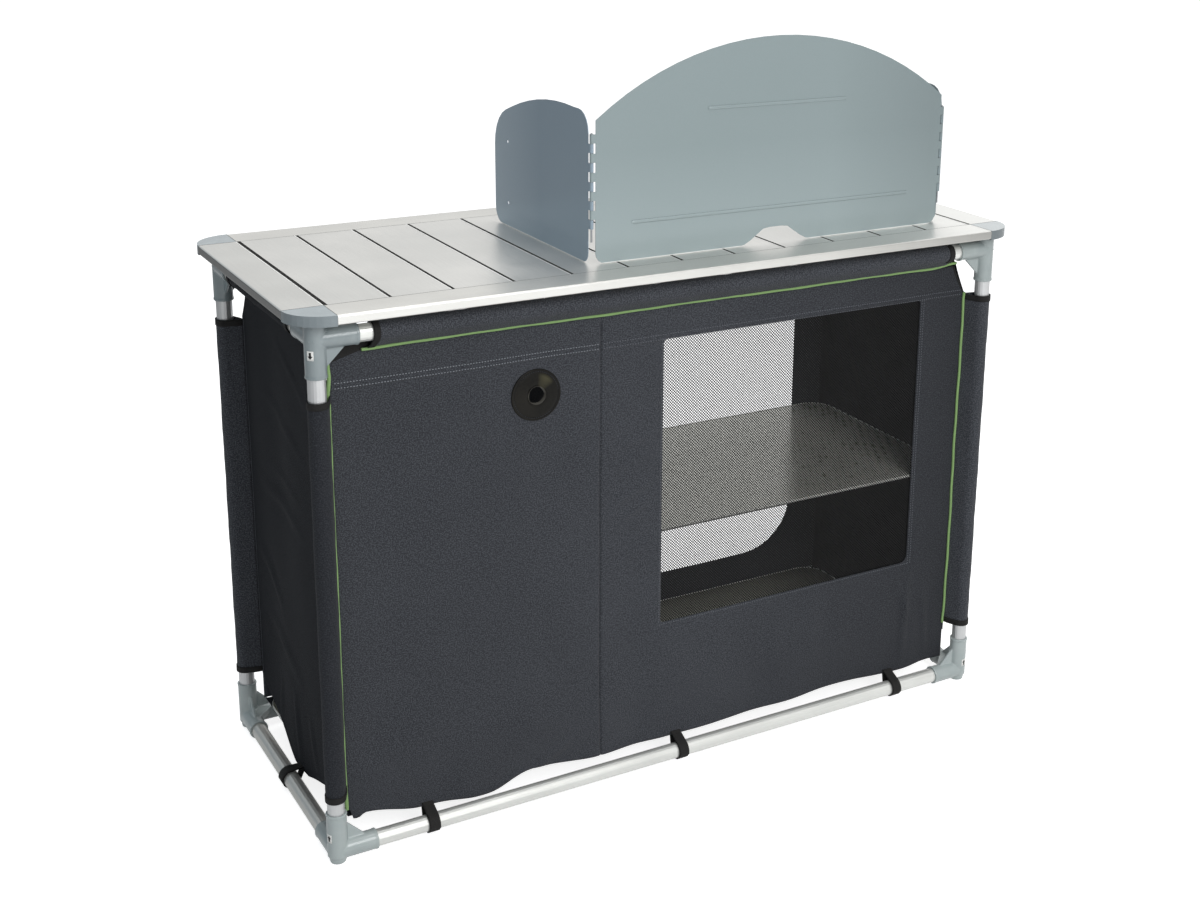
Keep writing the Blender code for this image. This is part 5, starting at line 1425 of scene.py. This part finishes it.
def build_door_rolls():
    """Each rear door is sewn along its top edge, rolled up from below and tied."""
    pitch = 0.0020
    core = 0.0035
    reach = 0.0185
    for index, (label, left, right) in enumerate(DOORS):
        box_low, box_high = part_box(f"door_roll_{label}")
        centre = np.array((box_high.y - reach - CLOTH, box_low.z + reach + CLOTH))
        seam = (box_low.y + CLOTH / 2, box_high.z - CLOTH / 2)
        turn = np.linspace(0, 2 * np.pi * (reach - core) / pitch, 260)
        radius = core + pitch * turn / (2 * np.pi)
        angle = np.pi + (turn - turn[-1])
        path = centre + np.column_stack([radius * np.cos(angle), -radius * np.sin(angle)])
        path = np.vstack([path, [[seam[0] + 0.0002, (centre[1] + seam[1]) / 2]], [seam]])
        run = run_along(path)
        seed = index * 1.3

        def place(x, s):
            y, z = at_run(run, path, s)
            out = np.clip((s - run[-1] * 0.55) / (run[-1] * 0.45), 0, 1) * fade(run[-1] - s, 0, 0.05)
            dent = out * (ripple(x, s, ((0.27, 0.9, 0.0006, seed), (0.11, 0.4, 0.0004, seed * 2))) - 0.0006)
            return x, y + dent * (y - centre[0]) / reach, z + dent * (z - centre[1]) / reach

        rolled = grid_mesh(lines_through([left, right], 0.012), run, place)
        cloth_piece(f"rolled_door_{label}", rolled, FRONT_CLOTH, (right - left, float(run[-1])),
                    replaces=[f"door_roll_{label}"])
        loop = (centre, (seam[0], seam[1] + 0.0015), reach + CLOTH + 0.0006)
        middles = [left + (right - left) * share for share in (0.22, 0.78)]
        ties = merged([loop_mesh(*loop, at - 0.009, at + 0.009, LENGTHWISE, step=0.0045) for at in middles])
        cloth_piece(f"door_ties_{label}", ties, WEBBING, (0.036, loop_length(*loop)),
                    0.0012)


def door_path(left, right, out):
    """Down one side of a rear door, round its corners and up the other, out metres outside the opening."""
    low = DOOR_LOW - out
    radius = DOOR_CORNER_R + out
    a, b = left - out, right + out
    turn = np.linspace(0, np.pi / 2, 14)
    points = [(a, DOOR_HIGH - 0.004)]
    points += [(a + radius - radius * math.cos(t), low + radius - radius * math.sin(t)) for t in turn]
    points += [(b - radius + radius * math.sin(t), low + radius - radius * math.cos(t)) for t in turn]
    return np.array(points + [(b, DOOR_HIGH - 0.004)])


def build_zips():
    """Zip tape and coil round the rear doors."""
    coils = []
    for _label, left, right in DOORS:
        path = door_path(left, right, 0.0005)
        run = run_along(path)
        u, z = at_run(run, path, lines_through([0.0, run[-1]], 0.006))
        coils.append(swept(np.column_stack(rear_point(u, z, CLOTH + 0.0012)), 0.0013, 8))
    paths = [door_path(left, right, 0.006) for _label, left, right in DOORS]
    tapes = merged([ribbon(path, 0.011, lambda u, z: rear_point(u, z, CLOTH)) for path in paths])
    length = sum(float(run_along(path)[-1]) for path in paths)
    cloth_piece("zip_tape", tapes, TAPE, (length, 0.011), thick=0.0009)
    piece("zip_coil", merged(coils), TAPE)


build_camera()
build_light()
build_floor()
dress_frame()
build_joints()
build_beads()
build_front_cloth()
hang_panel("front", -1, LONG_HEM, 1.3, 0.0035, open_end=True)
build_piping()
build_side("left_wall", -1, SIDE_HEM, LEFT_CREASES)
build_side("right_wall", 1, RIGHT_HEM, RIGHT_CREASES)
build_net()
build_grommet()
build_rear()
hang_panel("rear", 1, REAR_HEM, 2.9)
build_connectors()
arrow_sticker("arrow_top_left", -LEG_X, 225, 0.743, -1)
arrow_sticker("arrow_low_left", -LEG_X, 202, 0.042, 1)
arrow_sticker("arrow_low_right", LEG_X, 283, 0.034, 1)
build_corner_binding()
build_inside()
build_door_rolls()
build_zips()
